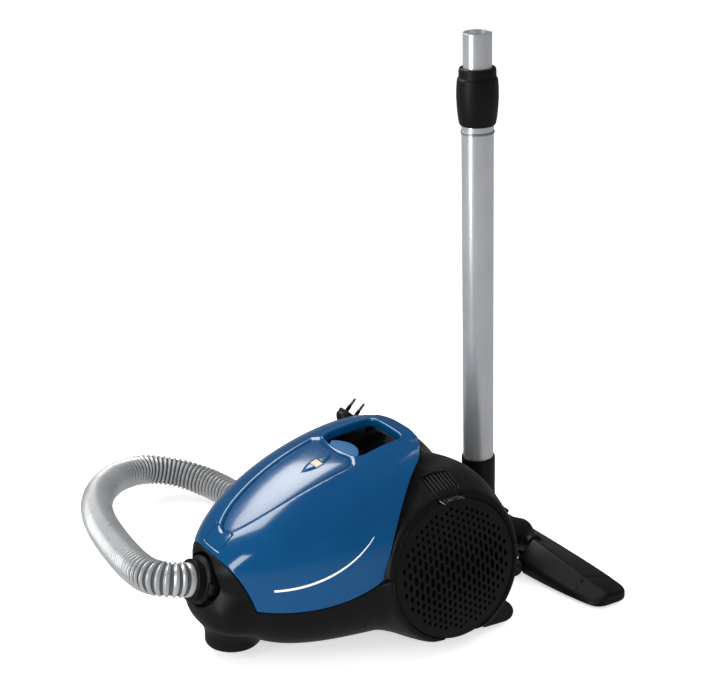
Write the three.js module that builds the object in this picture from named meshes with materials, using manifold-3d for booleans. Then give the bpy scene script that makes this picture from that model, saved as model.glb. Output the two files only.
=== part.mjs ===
// Canister vacuum cleaner: egg-shaped machine, corrugated hose with handle, parked
// telescopic wand and floor nozzle.  Millimetres, +Z up, the floor at z = 0.
// The nose and hose inlet face -Y, the machine's left side is +X, the wand stands behind.
// Sizes are stated from the middle of the hose inlet's plan; the finished model is moved
// so that its origin lies at the middle of the footprint of everything but the hose.
import * as THREE from 'three';
import { mergeVertices } from 'three/addons/utils/BufferGeometryUtils.js';
import Module from 'manifold-3d';

const wasm = await Module();
wasm.setup();

// ---------------------------------------------------------------- driving dimensions
const GAP = 0.3;                 // clearance between pieces that touch
const WALL = 3;                  // housing wall
const LID_WALL = 3;
const FOOTPRINT_Y = 74.1;        // middle of the footprint without the hose

// egg-shaped body: half-width, crown height and belly height along its length
const NOSE_Y = -160;
const WIDEST_Y = 70;
const HALF_WIDTH = 126;
const WAIST_Z = 110;             // height of the widest line
const CROWN_Z = 222;
const CROWN_Y = 75;
const LID_TOP = CROWN_Z + 18;     // safely above the crown
const BELLY_Z = 11;
const PLAN_POWER = 1.77;
const CROWN_POWER = 1.6;
const SIDE_POWER = 2.44;
const BELLY_POWER = 3.2;
const EGG_END_Y = 128;

// side discs and the drum between them
const DISC_X = 130;
const DISC_Y = 90;
const DISC_R = 79.7;
const DISC_Z = DISC_R + 17.3;
const DISC_TILT = 9.9 * Math.PI / 180;
const RIM_R = DISC_R + 3.5;      // socket ring around a disc
const DRUM_R = RIM_R + 12.8;               // drum radius on the centreline
const SHOULDER = 8;              // extra radius of the shoulders
const GRILLE_DEPTH = 9;
const FILTER_R = 60;
const FILTER_THICK = 12;
const DRUM_BASE_Z = 19;
const END_WALL = 24;             // depth of the drum ends that hold filter and grille

// lines where the shells part
const SEAM_Z = 105;              // lower housing to rear housing
const BUMPER = { x: 60, y: 50, z: 38, cy: -118, cz: 66 };

// handle, hand well and lid hinge
const HAND_W = 36;               // half-width of the hand opening
const HAND_Y0 = 17;
const HANDLE_Y0 = 84;
const HANDLE_Y1 = 107;
const HANDLE_Z0 = CROWN_Z - 21;
const HANDLE_W = 42;
const HINGE_Y = 92;
const HINGE_Z = CROWN_Z - 16;
const PIN_R = 2.5;
const LUG_W = 6;
const LUG_R = 5.5;
const WELL = { y: 72, z: CROWN_Z, r: 45 };

// hose inlet and connector
const INLET_Y = -140;
const INLET_Z = 92;
const INLET_TILT = 15 * Math.PI / 180;
const INLET_R = 21;
const INLET_WALL = 2.5;
const HOSE_R = 19.5;
const HOSE_SIDES = 8;
const HOSE_STEPS = 40;
const HOSE_ROUTE = [
  [0, -174.2, 101.2], [0, -180.5, 102.9], [-4, -194, 105.2], [-14.5, -204.3, 105.6], [-31, -208.6, 103.5],
  [-60, -207.3, 99], [-100, -201, 92], [-160, -190, 84], [-232, -172, 74], [-292, -149, 66], [-347, -114, 57],
  [-385, -72, 49], [-400, -30, 41], [-388, 8, 32], [-357, 34, 25], [-312, 48, 21], [-262, 51, 20],
  [-212, 62, 20], [-180, 100, 20], [-173, 150, 20], [-175, 205, 20], [-196, 253, 20],
  [-240, 281, 20], [-288, 275, 20], [-317, 245, 20], [-322, 220, 20],
];
const GRIP = { bend: 60, angle: 62 * Math.PI / 180, straight: 74, start: 24, r: 17.5 };

// castors
const CASTOR_Y = -122;
const CASTOR_R = 14;
const CASTOR_TRAIL = 8;
const CASTOR_POCKET_R = 27;
const CASTOR_POCKET_TOP = 36;
const CASTOR_HALF = 12;
const REAR_WHEEL_X = 112;
const REAR_WHEEL_Y = 158;
const REAR_WHEEL_R = 14;
const REAR_WHEEL_HALF = 8;
const AXLE_R = 2.5;
const STUB = 4;                  // axle stub moulded on each side of a wheel

// wand
const WAND_Y = 221;
const WAND_LEAN = 2.05 * Math.PI / 180;
const TUBE_R = 18;
const INNER_TUBE_R = 16;
const TUBE_WALL = 1.2;
const LOWER_TUBE = [132, 567];   // heights along the wand axis
const UPPER_TUBE = [314, 658];
const COLLAR = [556, 620];
const SOCKET = [99, 154.5];
const SOCKET_R = 20;

// parking hook: its tongue hangs in a pocket on the machine's tail
const PARK = { half: 9, y0: 189.9, y1: 193.7, z0: 70, z1: 96 };

// floor nozzle
const NOZZLE_HALF = 160;
const NOZZLE_Y0 = 254;
const NOZZLE_Y1 = 328;
const NOZZLE_Z = 42;
const NOZZLE_TIP_Z = 18;
const SOLE_Z = 3;
const NECK_Y = 284;
const NECK_Z = 27;
const NECK_BORE = 12.5;
const HUB_R = 13;
const HUB_HALF = 30;
const NECK_NOTCH = { half: 22, y1: 277 };
const NOZZLE_WHEEL = { x: 36, y: 248, r: 10, half: 5 };
const MOUTH = { half: 126, y0: 287, y1: 301 };
const BRUSH = { half: 100, thick: 3.6, front: 312, rear: 279, z0: 1.4, z1: 12 };
const BRUSH_TIE = 8;
const PEDAL = { x0: -84, x1: -50, y0: 276, y1: 306 };

// power button
const BUTTON_Z0 = CROWN_Z - 19;
const PLUG = { x: -96, y: 84, z: 186, r: 15, long: 19, pin: 19 };
const PEDAL_Z = 32;
const BUTTON_Z1 = CROWN_Z - 11;
const BUTTON_TRAVEL = 2;

// motor and cord reel, both on axes across the machine
const MOTOR = { y: 88, z: 90, x0: 2, x1: 92, r: 53 };
const REEL = { y: 88, z: 90, x0: -95, x1: -46, r: 63, hub: 26 };

// ---------------------------------------------------------------- colours
const BLUE = { color: 0x0a5fa8, roughness: 0.18, metalness: 0 };
const PALE_BLUE = { color: 0x6f9fcc, roughness: 0.3, metalness: 0 };
const BLACK = { color: 0x17181a, roughness: 0.5, metalness: 0 };
const DARK = { color: 0x2a2b2e, roughness: 0.6, metalness: 0 };
const RUBBER = { color: 0x101010, roughness: 0.85, metalness: 0 };
const SILVER = { color: 0xc9ccd0, roughness: 0.35, metalness: 0.9 };
const HOSE_GREY = { color: 0xaeb2b5, roughness: 0.45, metalness: 0.1 };
const STEEL = { color: 0xb8babd, roughness: 0.3, metalness: 1 };
const WHITE = { color: 0xf2f4f5, roughness: 0.3, metalness: 0 };
const CREAM = { color: 0xe9d9b0, roughness: 0.4, metalness: 0 };
const PAPER = { color: 0xd9cfb8, roughness: 0.9, metalness: 0 };
const FOAM = { color: 0x3b3f45, roughness: 0.95, metalness: 0 };
const GREEN = { color: 0x1d6b3a, roughness: 0.5, metalness: 0 };
const COPPER = { color: 0xb8703a, roughness: 0.35, metalness: 1 };

// ---------------------------------------------------------------- helpers
const model = new THREE.Group();
model.position.y = -FOOTPRINT_Y;

function bare(geometry) {
  const copy = geometry.clone();
  copy.deleteAttribute('normal');
  copy.deleteAttribute('uv');
  return mergeVertices(copy, 1e-4);
}

function solid(geometry) {
  const merged = bare(geometry);
  return new wasm.Manifold(new wasm.Mesh({
    numProp: 3,
    vertProperties: Float32Array.from(merged.attributes.position.array),
    triVerts: Uint32Array.from(merged.index.array),
  }));
}

function geometryOf(shape) {
  const { vertProperties, triVerts, numProp } = shape.getMesh();
  const geometry = new THREE.BufferGeometry();
  const points = [];
  for (let i = 0; i < vertProperties.length; i += numProp) {
    points.push(vertProperties[i], vertProperties[i + 1], vertProperties[i + 2]);
  }
  geometry.setAttribute('position', new THREE.Float32BufferAttribute(points, 3));
  geometry.setIndex(Array.from(triVerts));
  return geometry;
}

function add(name, shape, finish, parent = model) {
  const geometry = shape.isBufferGeometry ? shape : geometryOf(shape);
  const mesh = new THREE.Mesh(geometry, new THREE.MeshStandardMaterial(finish));
  mesh.name = name;
  parent.add(mesh);
  return mesh;
}

function joined(shapes) {
  return shapes.reduce((sum, shape) => sum.add(shape));
}

function box(x0, x1, y0, y1, z0, z1) {
  const geometry = new THREE.BoxGeometry(x1 - x0, y1 - y0, z1 - z0);
  geometry.translate((x0 + x1) / 2, (y0 + y1) / 2, (z0 + z1) / 2);
  return solid(geometry);
}

// a solid of revolution about an axis through `at` along `axis`; profile is [radius, height]
function turned(profile, at, axis, sides = 14) {
  const points = profile.map(([r, h]) => new THREE.Vector2(r, h));
  const geometry = new THREE.LatheGeometry(points, sides);
  const turn = new THREE.Quaternion().setFromUnitVectors(
    new THREE.Vector3(0, 1, 0), new THREE.Vector3(...axis).normalize());
  geometry.applyQuaternion(turn);
  geometry.translate(...at);
  return outward(geometry);
}

function outward(geometry) {
  const merged = bare(geometry);
  const p = merged.attributes.position;
  const index = merged.index.array;
  const [a, b, c] = [new THREE.Vector3(), new THREE.Vector3(), new THREE.Vector3()];
  let volume = 0;
  for (let i = 0; i < index.length; i += 3) {
    a.fromBufferAttribute(p, index[i]);
    b.fromBufferAttribute(p, index[i + 1]);
    c.fromBufferAttribute(p, index[i + 2]);
    volume += a.dot(b.cross(c));
  }
  if (volume < 0) {
    for (let i = 0; i < index.length; i += 3) {
      [index[i], index[i + 1]] = [index[i + 1], index[i]];
    }
  }
  return solid(merged);
}

function rod(r, from, to, sides = 12) {
  const start = new THREE.Vector3(...from);
  const along = new THREE.Vector3(...to).sub(start);
  const length = along.length();
  return turned([[0, 0], [r, 0], [r, length], [0, length]], from, along.toArray(), sides);
}

function ring(rOut, rIn, h0, h1, at, axis, sides = 14) {
  return turned([[rIn, h0], [rOut, h0], [rOut, h1], [rIn, h1], [rIn, h0]], at, axis, sides);
}

// an outline in the side view [y, z], carried across the machine from x0 to x1
function sideSlab(shape, x0, x1, segments = 8) {
  const geometry = new THREE.ExtrudeGeometry(shape,
    { depth: x1 - x0, bevelEnabled: false, curveSegments: segments });
  geometry.applyMatrix4(new THREE.Matrix4().makeBasis(
    new THREE.Vector3(0, 1, 0), new THREE.Vector3(0, 0, 1), new THREE.Vector3(1, 0, 0)));
  geometry.translate(x0, 0, 0);
  return outward(geometry);
}

// an outline in the plan view [x, y], carried up from z0 to z1
function planSlab(shape, z0, z1, segments = 8) {
  const geometry = new THREE.ExtrudeGeometry(shape,
    { depth: z1 - z0, bevelEnabled: false, curveSegments: segments });
  geometry.translate(0, 0, z0);
  return outward(geometry);
}

// a closed skin through rings of equal length, capped at both ends
function loft(rings) {
  const n = rings[0].length;
  const points = rings.flat(2);
  const faces = [];
  for (let k = 0; k + 1 < rings.length; k += 1) {
    for (let i = 0; i < n; i += 1) {
      const j = (i + 1) % n;
      const [a, b, c, d] = [k * n + i, k * n + j, (k + 1) * n + i, (k + 1) * n + j];
      faces.push(a, b, d, a, d, c);
    }
  }
  for (const [k, flip] of [[0, true], [rings.length - 1, false]]) {
    const centre = points.length / 3;
    const mid = [0, 1, 2].map((axis) => rings[k].reduce((sum, p) => sum + p[axis], 0) / n);
    points.push(...mid);
    for (let i = 0; i < n; i += 1) {
      const j = (i + 1) % n;
      faces.push(centre, k * n + (flip ? j : i), k * n + (flip ? i : j));
    }
  }
  const geometry = new THREE.BufferGeometry();
  geometry.setAttribute('position', new THREE.Float32BufferAttribute(points, 3));
  geometry.setIndex(faces);
  return outward(geometry);
}

function alongCurve(curve, r, steps, sides = HOSE_SIDES) {
  const section = new THREE.Shape();
  section.absarc(0, 0, r, 0, 2 * Math.PI);
  return outward(new THREE.ExtrudeGeometry(section,
    { steps, extrudePath: curve, curveSegments: sides / 2, bevelEnabled: false }));
}

// ---------------------------------------------------------------- body surfaces
const bow = (t, p, q) => Math.max(0, 1 - Math.max(0, t) ** p) ** (1 / q);
const reach = (y, from, inset) => (from - y) / (from - NOSE_Y - inset);
const halfWidth = (y, inset) => (HALF_WIDTH - inset) * bow(reach(y, WIDEST_Y, inset), PLAN_POWER, 2.08);
const crown = (y, inset) => (CROWN_Z - WAIST_Z - inset) * bow(reach(y, CROWN_Y, inset), CROWN_POWER, 1.54)
  - Math.max(0, y - CROWN_Y) ** 2 / 400;
const belly = (y, inset) => (WAIST_Z - BELLY_Z - inset) * bow(reach(y, 0, inset), 4, 2);

function eggRing(y, inset) {
  const sides = 24;
  const half = halfWidth(y, inset);
  return Array.from({ length: sides }, (_, i) => {
    const angle = 2 * Math.PI * i / sides;
    const up = Math.sin(angle) >= 0;
    const power = 2 / (up ? SIDE_POWER : BELLY_POWER);
    const rise = (up ? crown(y, inset) : belly(y, inset)) * Math.abs(Math.sin(angle)) ** power;
    const x = half * Math.sign(Math.cos(angle)) * Math.abs(Math.cos(angle)) ** power;
    return [x, y, WAIST_Z + (up ? rise : -rise)];
  });
}

function egg(inset = 0) {
  const stations = 9;
  const start = NOSE_Y + inset + 0.4;
  return loft(Array.from({ length: stations + 1 }, (_, k) => (
    eggRing(start + (EGG_END_Y - inset - start) * (k / stations) ** 1.7, inset))));
}

// the drum's radius and sideways place: s runs from -1 to 1 between the disc rims
function drumPoint(phi, s, inset, endInset) {
  const rim = RIM_R - inset;
  const reachX = DISC_X - endInset - rim * Math.sin(DISC_TILT) * Math.sin(phi);
  const bulge = (DRUM_R - RIM_R) * Math.sqrt(1 - s ** 4) + SHOULDER * Math.sin(Math.PI * s) ** 2;
  const r = rim + bulge;
  const lean = 1 - (1 - Math.cos(DISC_TILT)) * Math.abs(s);
  return [reachX * s, DISC_Y + r * Math.cos(phi), DISC_Z + r * lean * Math.sin(phi)];
}

function drum(inset = 0, endInset = inset) {
  const sides = 24;
  const places = [-1, -0.9, -0.7, -0.45, -0.15, 0.15, 0.45, 0.7, 0.9, 1];
  return loft(places.map((s) => Array.from({ length: sides }, (_, i) => (
    drumPoint(2 * Math.PI * i / sides, s, inset, endInset)))));
}

const discAxis = (side) => [side * Math.cos(DISC_TILT), 0, Math.sin(DISC_TILT)];
const discPlace = (side) => [side * DISC_X, DISC_Y, DISC_Z];
const discTurned = (side, profile, sides = 24) => turned(profile, discPlace(side), discAxis(side), sides);
const discPuck = (side, r, h0, h1, sides = 24) => (
  discTurned(side, [[0, h0], [r, h0], [r, h1], [0, h1]], sides));

// the lid's outline in the side view, grown by `grow` on the edges that meet other shells
function lidOutline(grow) {
  const shape = new THREE.Shape();
  shape.moveTo(-200, 130 - grow);
  shape.lineTo(-150 - grow, 130 - grow);
  shape.quadraticCurveTo(-134 - grow, 108 - grow, -125.5 - grow, 76 - grow);
  shape.quadraticCurveTo(-45, 70 - grow, 7 + grow, 105 - grow);
  shape.bezierCurveTo(6 + grow, 145, 34 + grow, 193 - grow, 77 + grow, 208 - grow);
  shape.quadraticCurveTo(97 + grow, 216 - grow, 112 + grow, 223 - grow);
  shape.lineTo(112 + grow, LID_TOP);
  shape.lineTo(-200, LID_TOP);
  return sideSlab(shape, -150, 150, 6);
}

const eggOuter = egg();
const eggInner = egg(WALL);
const drumOuter = drum().subtract(box(-160, 160, -20, 200, -20, DRUM_BASE_Z));
const drumInner = drum(WALL, END_WALL).subtract(box(-160, 160, -20, 200, -20, DRUM_BASE_Z + WALL));
const discPockets = joined([1, -1].map((side) => (
  discPuck(side, DISC_R + 0.5, -GRILLE_DEPTH, 30)
    .add(discPuck(side, FILTER_R + 0.5, -GRILLE_DEPTH - FILTER_THICK - 0.6, 0, 14))
    .add(discPuck(side, 36, -40, 0, 16)))));

function superball({ x, y, z, cy, cz }, inset = 0) {
  const geometry = new THREE.SphereGeometry(1, 14, 8);
  const p = geometry.attributes.position;
  const puff = (v) => Math.sign(v) * Math.abs(v) ** 0.85;
  for (let i = 0; i < p.count; i += 1) {
    p.setXYZ(i, (x - inset) * puff(p.getX(i)), cy + (y - inset) * puff(p.getY(i)),
      cz + (z - inset) * puff(p.getZ(i)));
  }
  return outward(geometry);
}

const inletAxis = [0, -Math.cos(INLET_TILT), Math.sin(INLET_TILT)];
const inletAt = [0, INLET_Y, INLET_Z];
const onInlet = (h) => [0, INLET_Y + inletAxis[1] * h, INLET_Z + inletAxis[2] * h];

// ---------------------------------------------------------------- machine shells
function rearLobe(side) {
  const shape = new THREE.Shape();
  shape.moveTo(REAR_WHEEL_Y - 46, 24);
  shape.lineTo(REAR_WHEEL_Y - 22, 4);
  shape.lineTo(REAR_WHEEL_Y + 8, 3);
  shape.quadraticCurveTo(REAR_WHEEL_Y + 20, 4, REAR_WHEEL_Y + 20, 15);
  shape.quadraticCurveTo(REAR_WHEEL_Y + 18, 24, REAR_WHEEL_Y + 8, 30);
  shape.lineTo(REAR_WHEEL_Y - 8, 52);
  shape.lineTo(REAR_WHEEL_Y - 46, 52);
  const half = REAR_WHEEL_HALF + 6;
  return sideSlab(shape, side * REAR_WHEEL_X - half, side * REAR_WHEEL_X + half, 3);
}

function wheelWell(side) {
  const half = REAR_WHEEL_HALF + 1.5;
  const x = side * REAR_WHEEL_X;
  return rod(REAR_WHEEL_R + 2, [x - half, REAR_WHEEL_Y, REAR_WHEEL_R], [x + half, REAR_WHEEL_Y, REAR_WHEEL_R], 16)
    .add(box(x - half, x + half, REAR_WHEEL_Y - 12, REAR_WHEEL_Y + 12, -2, REAR_WHEEL_R));
}

const sides = [1, -1];

function makeLowerHousing() {
  const under = lidOutline(GAP);
  const belowSeam = box(-160, 160, 0, 230, -10, SEAM_Z).add(box(-160, 160, -200, 0.5, -10, 140));
  const hollowFront = eggInner.subtract(drumOuter);
  const lobes = joined(sides.map(rearLobe)).subtract(drumInner);
  const wells = joined(sides.map(wheelWell));
  const axles = joined(sides.map((side) => rod(AXLE_R + 0.15,
    [side * REAR_WHEEL_X - REAR_WHEEL_HALF - 4, REAR_WHEEL_Y, REAR_WHEEL_R],
    [side * REAR_WHEEL_X + REAR_WHEEL_HALF + 4, REAR_WHEEL_Y, REAR_WHEEL_R])));
  const filterWindow = box(-45, 45, -12, 40, 45, SEAM_Z - 12);
  const castorPocket = rod(CASTOR_POCKET_R, [0, CASTOR_Y, -5], [0, CASTOR_Y, CASTOR_POCKET_TOP], 14);
  const castorRoof = rod(CASTOR_POCKET_R + WALL, [0, CASTOR_Y, 12], [0, CASTOR_Y, CASTOR_POCKET_TOP + WALL], 14);
  const parkGuide = box(-PARK.half - 4, PARK.half + 4, PARK.y0 - 10, PARK.y1 + 2.4, PARK.z0 - 6, PARK.z1 - 9);
  const parkSlot = box(-PARK.half - 1, PARK.half + 1, PARK.y0 - 0.8, PARK.y1 + 0.8, PARK.z0 - 1, PARK.z1);
  return eggOuter.add(superball(BUMPER)).add(drumOuter).subtract(hollowFront.subtract(castorRoof))
    .subtract(superball(BUMPER, WALL).subtract(castorRoof).subtract(box(-80, 80, -200, NOSE_Y + 12, 0, 200)))
    .subtract(drumInner).add(parkGuide).add(lobes).subtract(discPockets)
    .intersect(belowSeam).subtract(under).subtract(wells).subtract(axles).subtract(filterWindow)
    .subtract(castorPocket).subtract(rod(3.2, [0, CASTOR_Y, 30], [0, CASTOR_Y, 60])).subtract(parkSlot)
    .subtract(rod(INLET_R + GAP, onInlet(-40), onInlet(60), INLET_SIDES))
    .subtract(rod(INLET_R + 9, onInlet(FLANGE_H[0] - 3), onInlet(60), INLET_SIDES));
}

function makeRearHousing() {
  const aboveSeam = box(-160, 160, -30, 230, SEAM_Z + GAP, 230);
  const well = rod(WELL.r, [-HANDLE_W - 2, WELL.y, WELL.z], [HANDLE_W + 2, WELL.y, WELL.z], 20);
  const wellSkin = rod(WELL.r + WALL, [-HANDLE_W - 2 - WALL, WELL.y, WELL.z],
    [HANDLE_W + 2 + WALL, WELL.y, WELL.z], 20).intersect(drumOuter);
  const lugs = joined(sides.map((side) => {
    const x0 = side * (HANDLE_W + 1.5);
    const x1 = x0 + side * LUG_W;
    const post = box(Math.min(x0, x1), Math.max(x0, x1), HINGE_Y - LUG_R, HINGE_Y + LUG_R, 185, HINGE_Z);
    return rod(LUG_R, [x0, HINGE_Y, HINGE_Z], [x1, HINGE_Y, HINGE_Z]).add(post);
  }));
  const pinEnd = HANDLE_W + LUG_W + 4;
  const pinHoles = rod(PIN_R + 0.2, [-pinEnd, HINGE_Y, HINGE_Z], [pinEnd, HINGE_Y, HINGE_Z]);
  const notches = ribOpening(1, GAP).add(latchNotch(1, GAP));
  const shell = drumOuter.subtract(drumInner).add(wellSkin.intersect(aboveSeam)).subtract(discPockets)
    .intersect(aboveSeam);
  return shell.subtract(lidOutline(GAP).intersect(egg(-GAP))).subtract(well)
    .add(lugs.subtract(well)).subtract(pinHoles).subtract(notches)
    .add(rod(PLUG.r + 4, onPlug(-4), onPlug(14), 16).intersect(drumOuter).subtract(discPockets))
    .subtract(rod(PLUG.r + 1.2, onPlug(0), onPlug(50), 16)).subtract(rod(9 + GAP, onPlug(-30), onPlug(30), 12));
}

function makeLid() {
  const outline = lidOutline(0);
  const rounded = new THREE.Shape();
  rounded.moveTo(-HAND_W + 12, HAND_Y0);
  rounded.quadraticCurveTo(0, HAND_Y0 - 7, HAND_W - 12, HAND_Y0);
  rounded.quadraticCurveTo(HAND_W, HAND_Y0 + 1, HAND_W, HAND_Y0 + 14);
  rounded.lineTo(HAND_W - 3, HANDLE_Y0 - 10);
  rounded.quadraticCurveTo(HAND_W - 4, HANDLE_Y0, HAND_W - 16, HANDLE_Y0);
  rounded.lineTo(-HAND_W + 16, HANDLE_Y0);
  rounded.quadraticCurveTo(-HAND_W + 4, HANDLE_Y0, -HAND_W + 3, HANDLE_Y0 - 10);
  rounded.lineTo(-HAND_W, HAND_Y0 + 14);
  rounded.quadraticCurveTo(-HAND_W, HAND_Y0 + 1, -HAND_W + 12, HAND_Y0);
  const opening = planSlab(rounded, 150, LID_TOP, 4);
  const bar = eggOuter.intersect(box(-HANDLE_W, HANDLE_W, HANDLE_Y0, HANDLE_Y1, HANDLE_Z0, LID_TOP));
  const pinHoles = rod(PIN_R + 0.2, [-HANDLE_W - 1, HINGE_Y, HINGE_Z], [HANDLE_W + 1, HINGE_Y, HINGE_Z]);
  const seats = joined([lensOutline(GAP), stripeOutline(1, GAP), stripeOutline(-1, GAP), catchOutline(GAP)]);
  return eggOuter.subtract(egg(LID_WALL)).intersect(outline).add(bar.intersect(outline.add(
    box(-HANDLE_W, HANDLE_W, HANDLE_Y0, HANDLE_Y1, HANDLE_Z0, LID_TOP)))).subtract(opening)
    .subtract(pinHoles).subtract(seats)
    .subtract(superball({ ...BUMPER, x: BUMPER.x + GAP, y: BUMPER.y + GAP, z: BUMPER.z + GAP }))
    .subtract(rod(INLET_R + 9.4, onInlet(-4), onInlet(60), INLET_SIDES));
}

// inlaid lens-shaped panel on the crown of the lid
function lensOutline(grow) {
  const shape = new THREE.Shape();
  shape.moveTo(0, -128 - grow);
  shape.bezierCurveTo(24 + grow, -128 - grow, 38 + grow, -60, 40 + grow, 8);
  shape.lineTo(HAND_W - 6, HAND_Y0 - 4 + grow);
  shape.quadraticCurveTo(0, HAND_Y0 - 13 + grow, -HAND_W + 6, HAND_Y0 - 4 + grow);
  shape.lineTo(-40 - grow, 8);
  shape.bezierCurveTo(-38 - grow, -60, -24 - grow, -128 - grow, 0, -128 - grow);
  return planSlab(shape, 120, LID_TOP, 5);
}

const inlay = (outline) => eggOuter.subtract(egg(LID_WALL)).intersect(outline);
const topPanelSolid = () => inlay(lensOutline(0));

// slim bright stripe curving up along each flank
function stripeOutline(side, grow) {
  const shape = new THREE.Shape();
  const thick = 1.6 + grow;
  shape.moveTo(-111 - grow, 103 - thick);
  shape.quadraticCurveTo(-50, 108 - thick, -6 + grow, 153.4 - grow);
  shape.lineTo(-6 + grow, 154.6 + grow);
  shape.quadraticCurveTo(-50, 108 + thick, -111 - grow, 103 + thick);
  return side > 0 ? sideSlab(shape, 40, 150, 5) : sideSlab(shape, -150, -40, 5);
}

const stripeSolid = (side) => inlay(stripeOutline(side, 0));

// press tab of the lid catch at the nose
const catchOutline = (grow) => box(-17 - grow, 17 + grow, -160, -128 + grow, 134 - grow, 200);
const makeLidCatch = () => inlay(catchOutline(0));

const drumBand = (outer, inner) => drum(outer).subtract(drum(inner));
const RIB_BOX = { x0: 84, x1: 108, y0: 72, y1: 106 };

function ribOpening(side, grow) {
  const x = [side * (RIB_BOX.x0 - grow), side * (RIB_BOX.x1 + grow)].sort((a, b) => a - b);
  return box(x[0], x[1], RIB_BOX.y0 - grow, RIB_BOX.y1 + grow, 150, 230);
}

function latchNotch(side, grow) {
  const x = [side * (RIB_BOX.x1 + 2 * GAP - grow), side * 150].sort((a, b) => a - b);
  return box(x[0], x[1], RIB_BOX.y0 + 2 - grow, RIB_BOX.y1 - 2 + grow, DISC_Z + 60, 230);
}

function makeGripRibs(side) {
  const count = 7;
  const pitch = (RIB_BOX.y1 - RIB_BOX.y0) / count;
  const ribs = joined(Array.from({ length: count }, (_, i) => {
    const y = RIB_BOX.y0 + pitch * (i + 0.5);
    return box(-160, 160, y - pitch / 4, y + pitch / 4, 100, 230);
  }));
  return drumBand(0.6, 5).intersect(ribs).add(drumBand(4, 7)).intersect(ribOpening(side, 0))
    .subtract(discPuck(side, DISC_R + 1, -30, 30));
}

function makeGrilleLatch(side) {
  return drumBand(1, 9).intersect(latchNotch(side, 0)).subtract(discPuck(side, DISC_R + 1, -30, 30));
}

function makeGrille(side) {
  return discTurned(side, [[0, 0.6], [30, 0.2], [58, -1.2], [DISC_R - 4, -4.5],
    [DISC_R - 3, -GRILLE_DEPTH + GAP], [DISC_R, -GRILLE_DEPTH + GAP], [DISC_R, -3.5], [78, -1.5],
    [73, -0.4], [58, 1.6], [30, 3], [0, 3.4]]);
}

function makeExhaustFilter(side) {
  return discPuck(side, FILTER_R, -GRILLE_DEPTH - FILTER_THICK, -GRILLE_DEPTH - GAP, 14);
}

// ---------------------------------------------------------------- lid furniture
function makePowerButton() {
  const shape = new THREE.Shape();
  const half = HAND_W - 9;
  shape.moveTo(-half, HAND_Y0 + 9);
  shape.quadraticCurveTo(0, HAND_Y0 - 6, half, HAND_Y0 + 9);
  shape.quadraticCurveTo(0, HAND_Y0 + 22, -half, HAND_Y0 + 9);
  return planSlab(shape, BUTTON_Z0, BUTTON_Z1, 6);
}

// frame under the lid that carries the button and closes the front of the hand opening
function makeButtonFrame() {
  const x = HAND_W - 1;
  const tray = box(-x, x, HAND_Y0 + 0.5, HAND_Y0 + 20, BUTTON_Z0 - 7, BUTTON_Z0 - 2.5);
  const posts = joined([-18, 18].map((at) => rod(2.5, [at, HAND_Y0 + 9, BUTTON_Z0 - 3],
    [at, HAND_Y0 + 9, BUTTON_Z0 - GAP - BUTTON_TRAVEL], 12)));
  const tabs = joined(sides.map((side) => {
    const x0 = side * (x - 1);
    const x1 = side * (x + 12);
    return box(Math.min(x0, x1), Math.max(x0, x1), HAND_Y0 + 3, HAND_Y0 + 14, BUTTON_Z0 - 7, BUTTON_Z0 - 2.5);
  }));
  return tray.add(posts).add(tabs).intersect(egg(LID_WALL + 0.8));
}

function indicatorOutline(grow) {
  const shape = new THREE.Shape();
  const [x, y, half, deep] = [9, -16, 7 + grow, 4.5 + grow];
  shape.moveTo(x - half, y - deep);
  shape.lineTo(x + half, y - deep);
  shape.lineTo(x + half, y + deep);
  shape.lineTo(x - half, y + deep);
  return planSlab(shape, 150, LID_TOP);
}

const makeIndicator = () => inlay(indicatorOutline(0));

// soft gasket strip inside the rim where the lid meets the lower housing
function makeLidSeal(side) {
  const shape = new THREE.Shape();
  const low = -1.5;
  const high = 3;
  shape.moveTo(-118, 78 + low);
  shape.quadraticCurveTo(-45, 71 + low, -8, 99 + low);
  shape.lineTo(-8, 99 + high);
  shape.quadraticCurveTo(-45, 71 + high, -118, 78 + high);
  const band = egg(WALL + 0.6).subtract(egg(WALL + 3.6)).subtract(superball(BUMPER));
  const slab = side > 0 ? sideSlab(shape, 10, 150, 5) : sideSlab(shape, -150, -10, 5);
  return band.intersect(slab).subtract(drum(-0.6));
}

function makeHingePin() {
  const end = HANDLE_W + 1.5 + LUG_W;
  return rod(PIN_R, [-end, HINGE_Y, HINGE_Z], [end, HINGE_Y, HINGE_Z], 14);
}

// ---------------------------------------------------------------- castors
function makeCastorFork() {
  const roofZ = CASTOR_POCKET_TOP - GAP;
  const wheelY = CASTOR_Y + CASTOR_TRAIL;
  const plate = rod(20, [0, CASTOR_Y, roofZ - 4], [0, CASTOR_Y, roofZ], 16);
  const stem = rod(3, [0, CASTOR_Y, roofZ - 1], [0, CASTOR_Y, roofZ + 6.5], 14);
  const web = box(-2, 2, CASTOR_Y - 8, wheelY + 4, CASTOR_R - 5, roofZ - 2);
  const bore = rod(AXLE_R + 0.15, [-5, wheelY, CASTOR_R], [5, wheelY, CASTOR_R]);
  return plate.add(stem).add(web).subtract(bore);
}

function makeCastorWheels() {
  const wheelY = CASTOR_Y + CASTOR_TRAIL;
  return joined(sides.map((side) => {
    const [h0, h1, r] = [2.3, CASTOR_HALF, CASTOR_R];
    return turned([[0, h0], [r - 1, h0], [r, h0 + 1], [r, h1 - 2.5], [r - 2.5, h1], [0, h1]],
      [0, wheelY, r], [side, 0, 0], 14);
  })).add(rod(AXLE_R, [-CASTOR_HALF + 2, wheelY, CASTOR_R], [CASTOR_HALF - 2, wheelY, CASTOR_R], 14));
}

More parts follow.
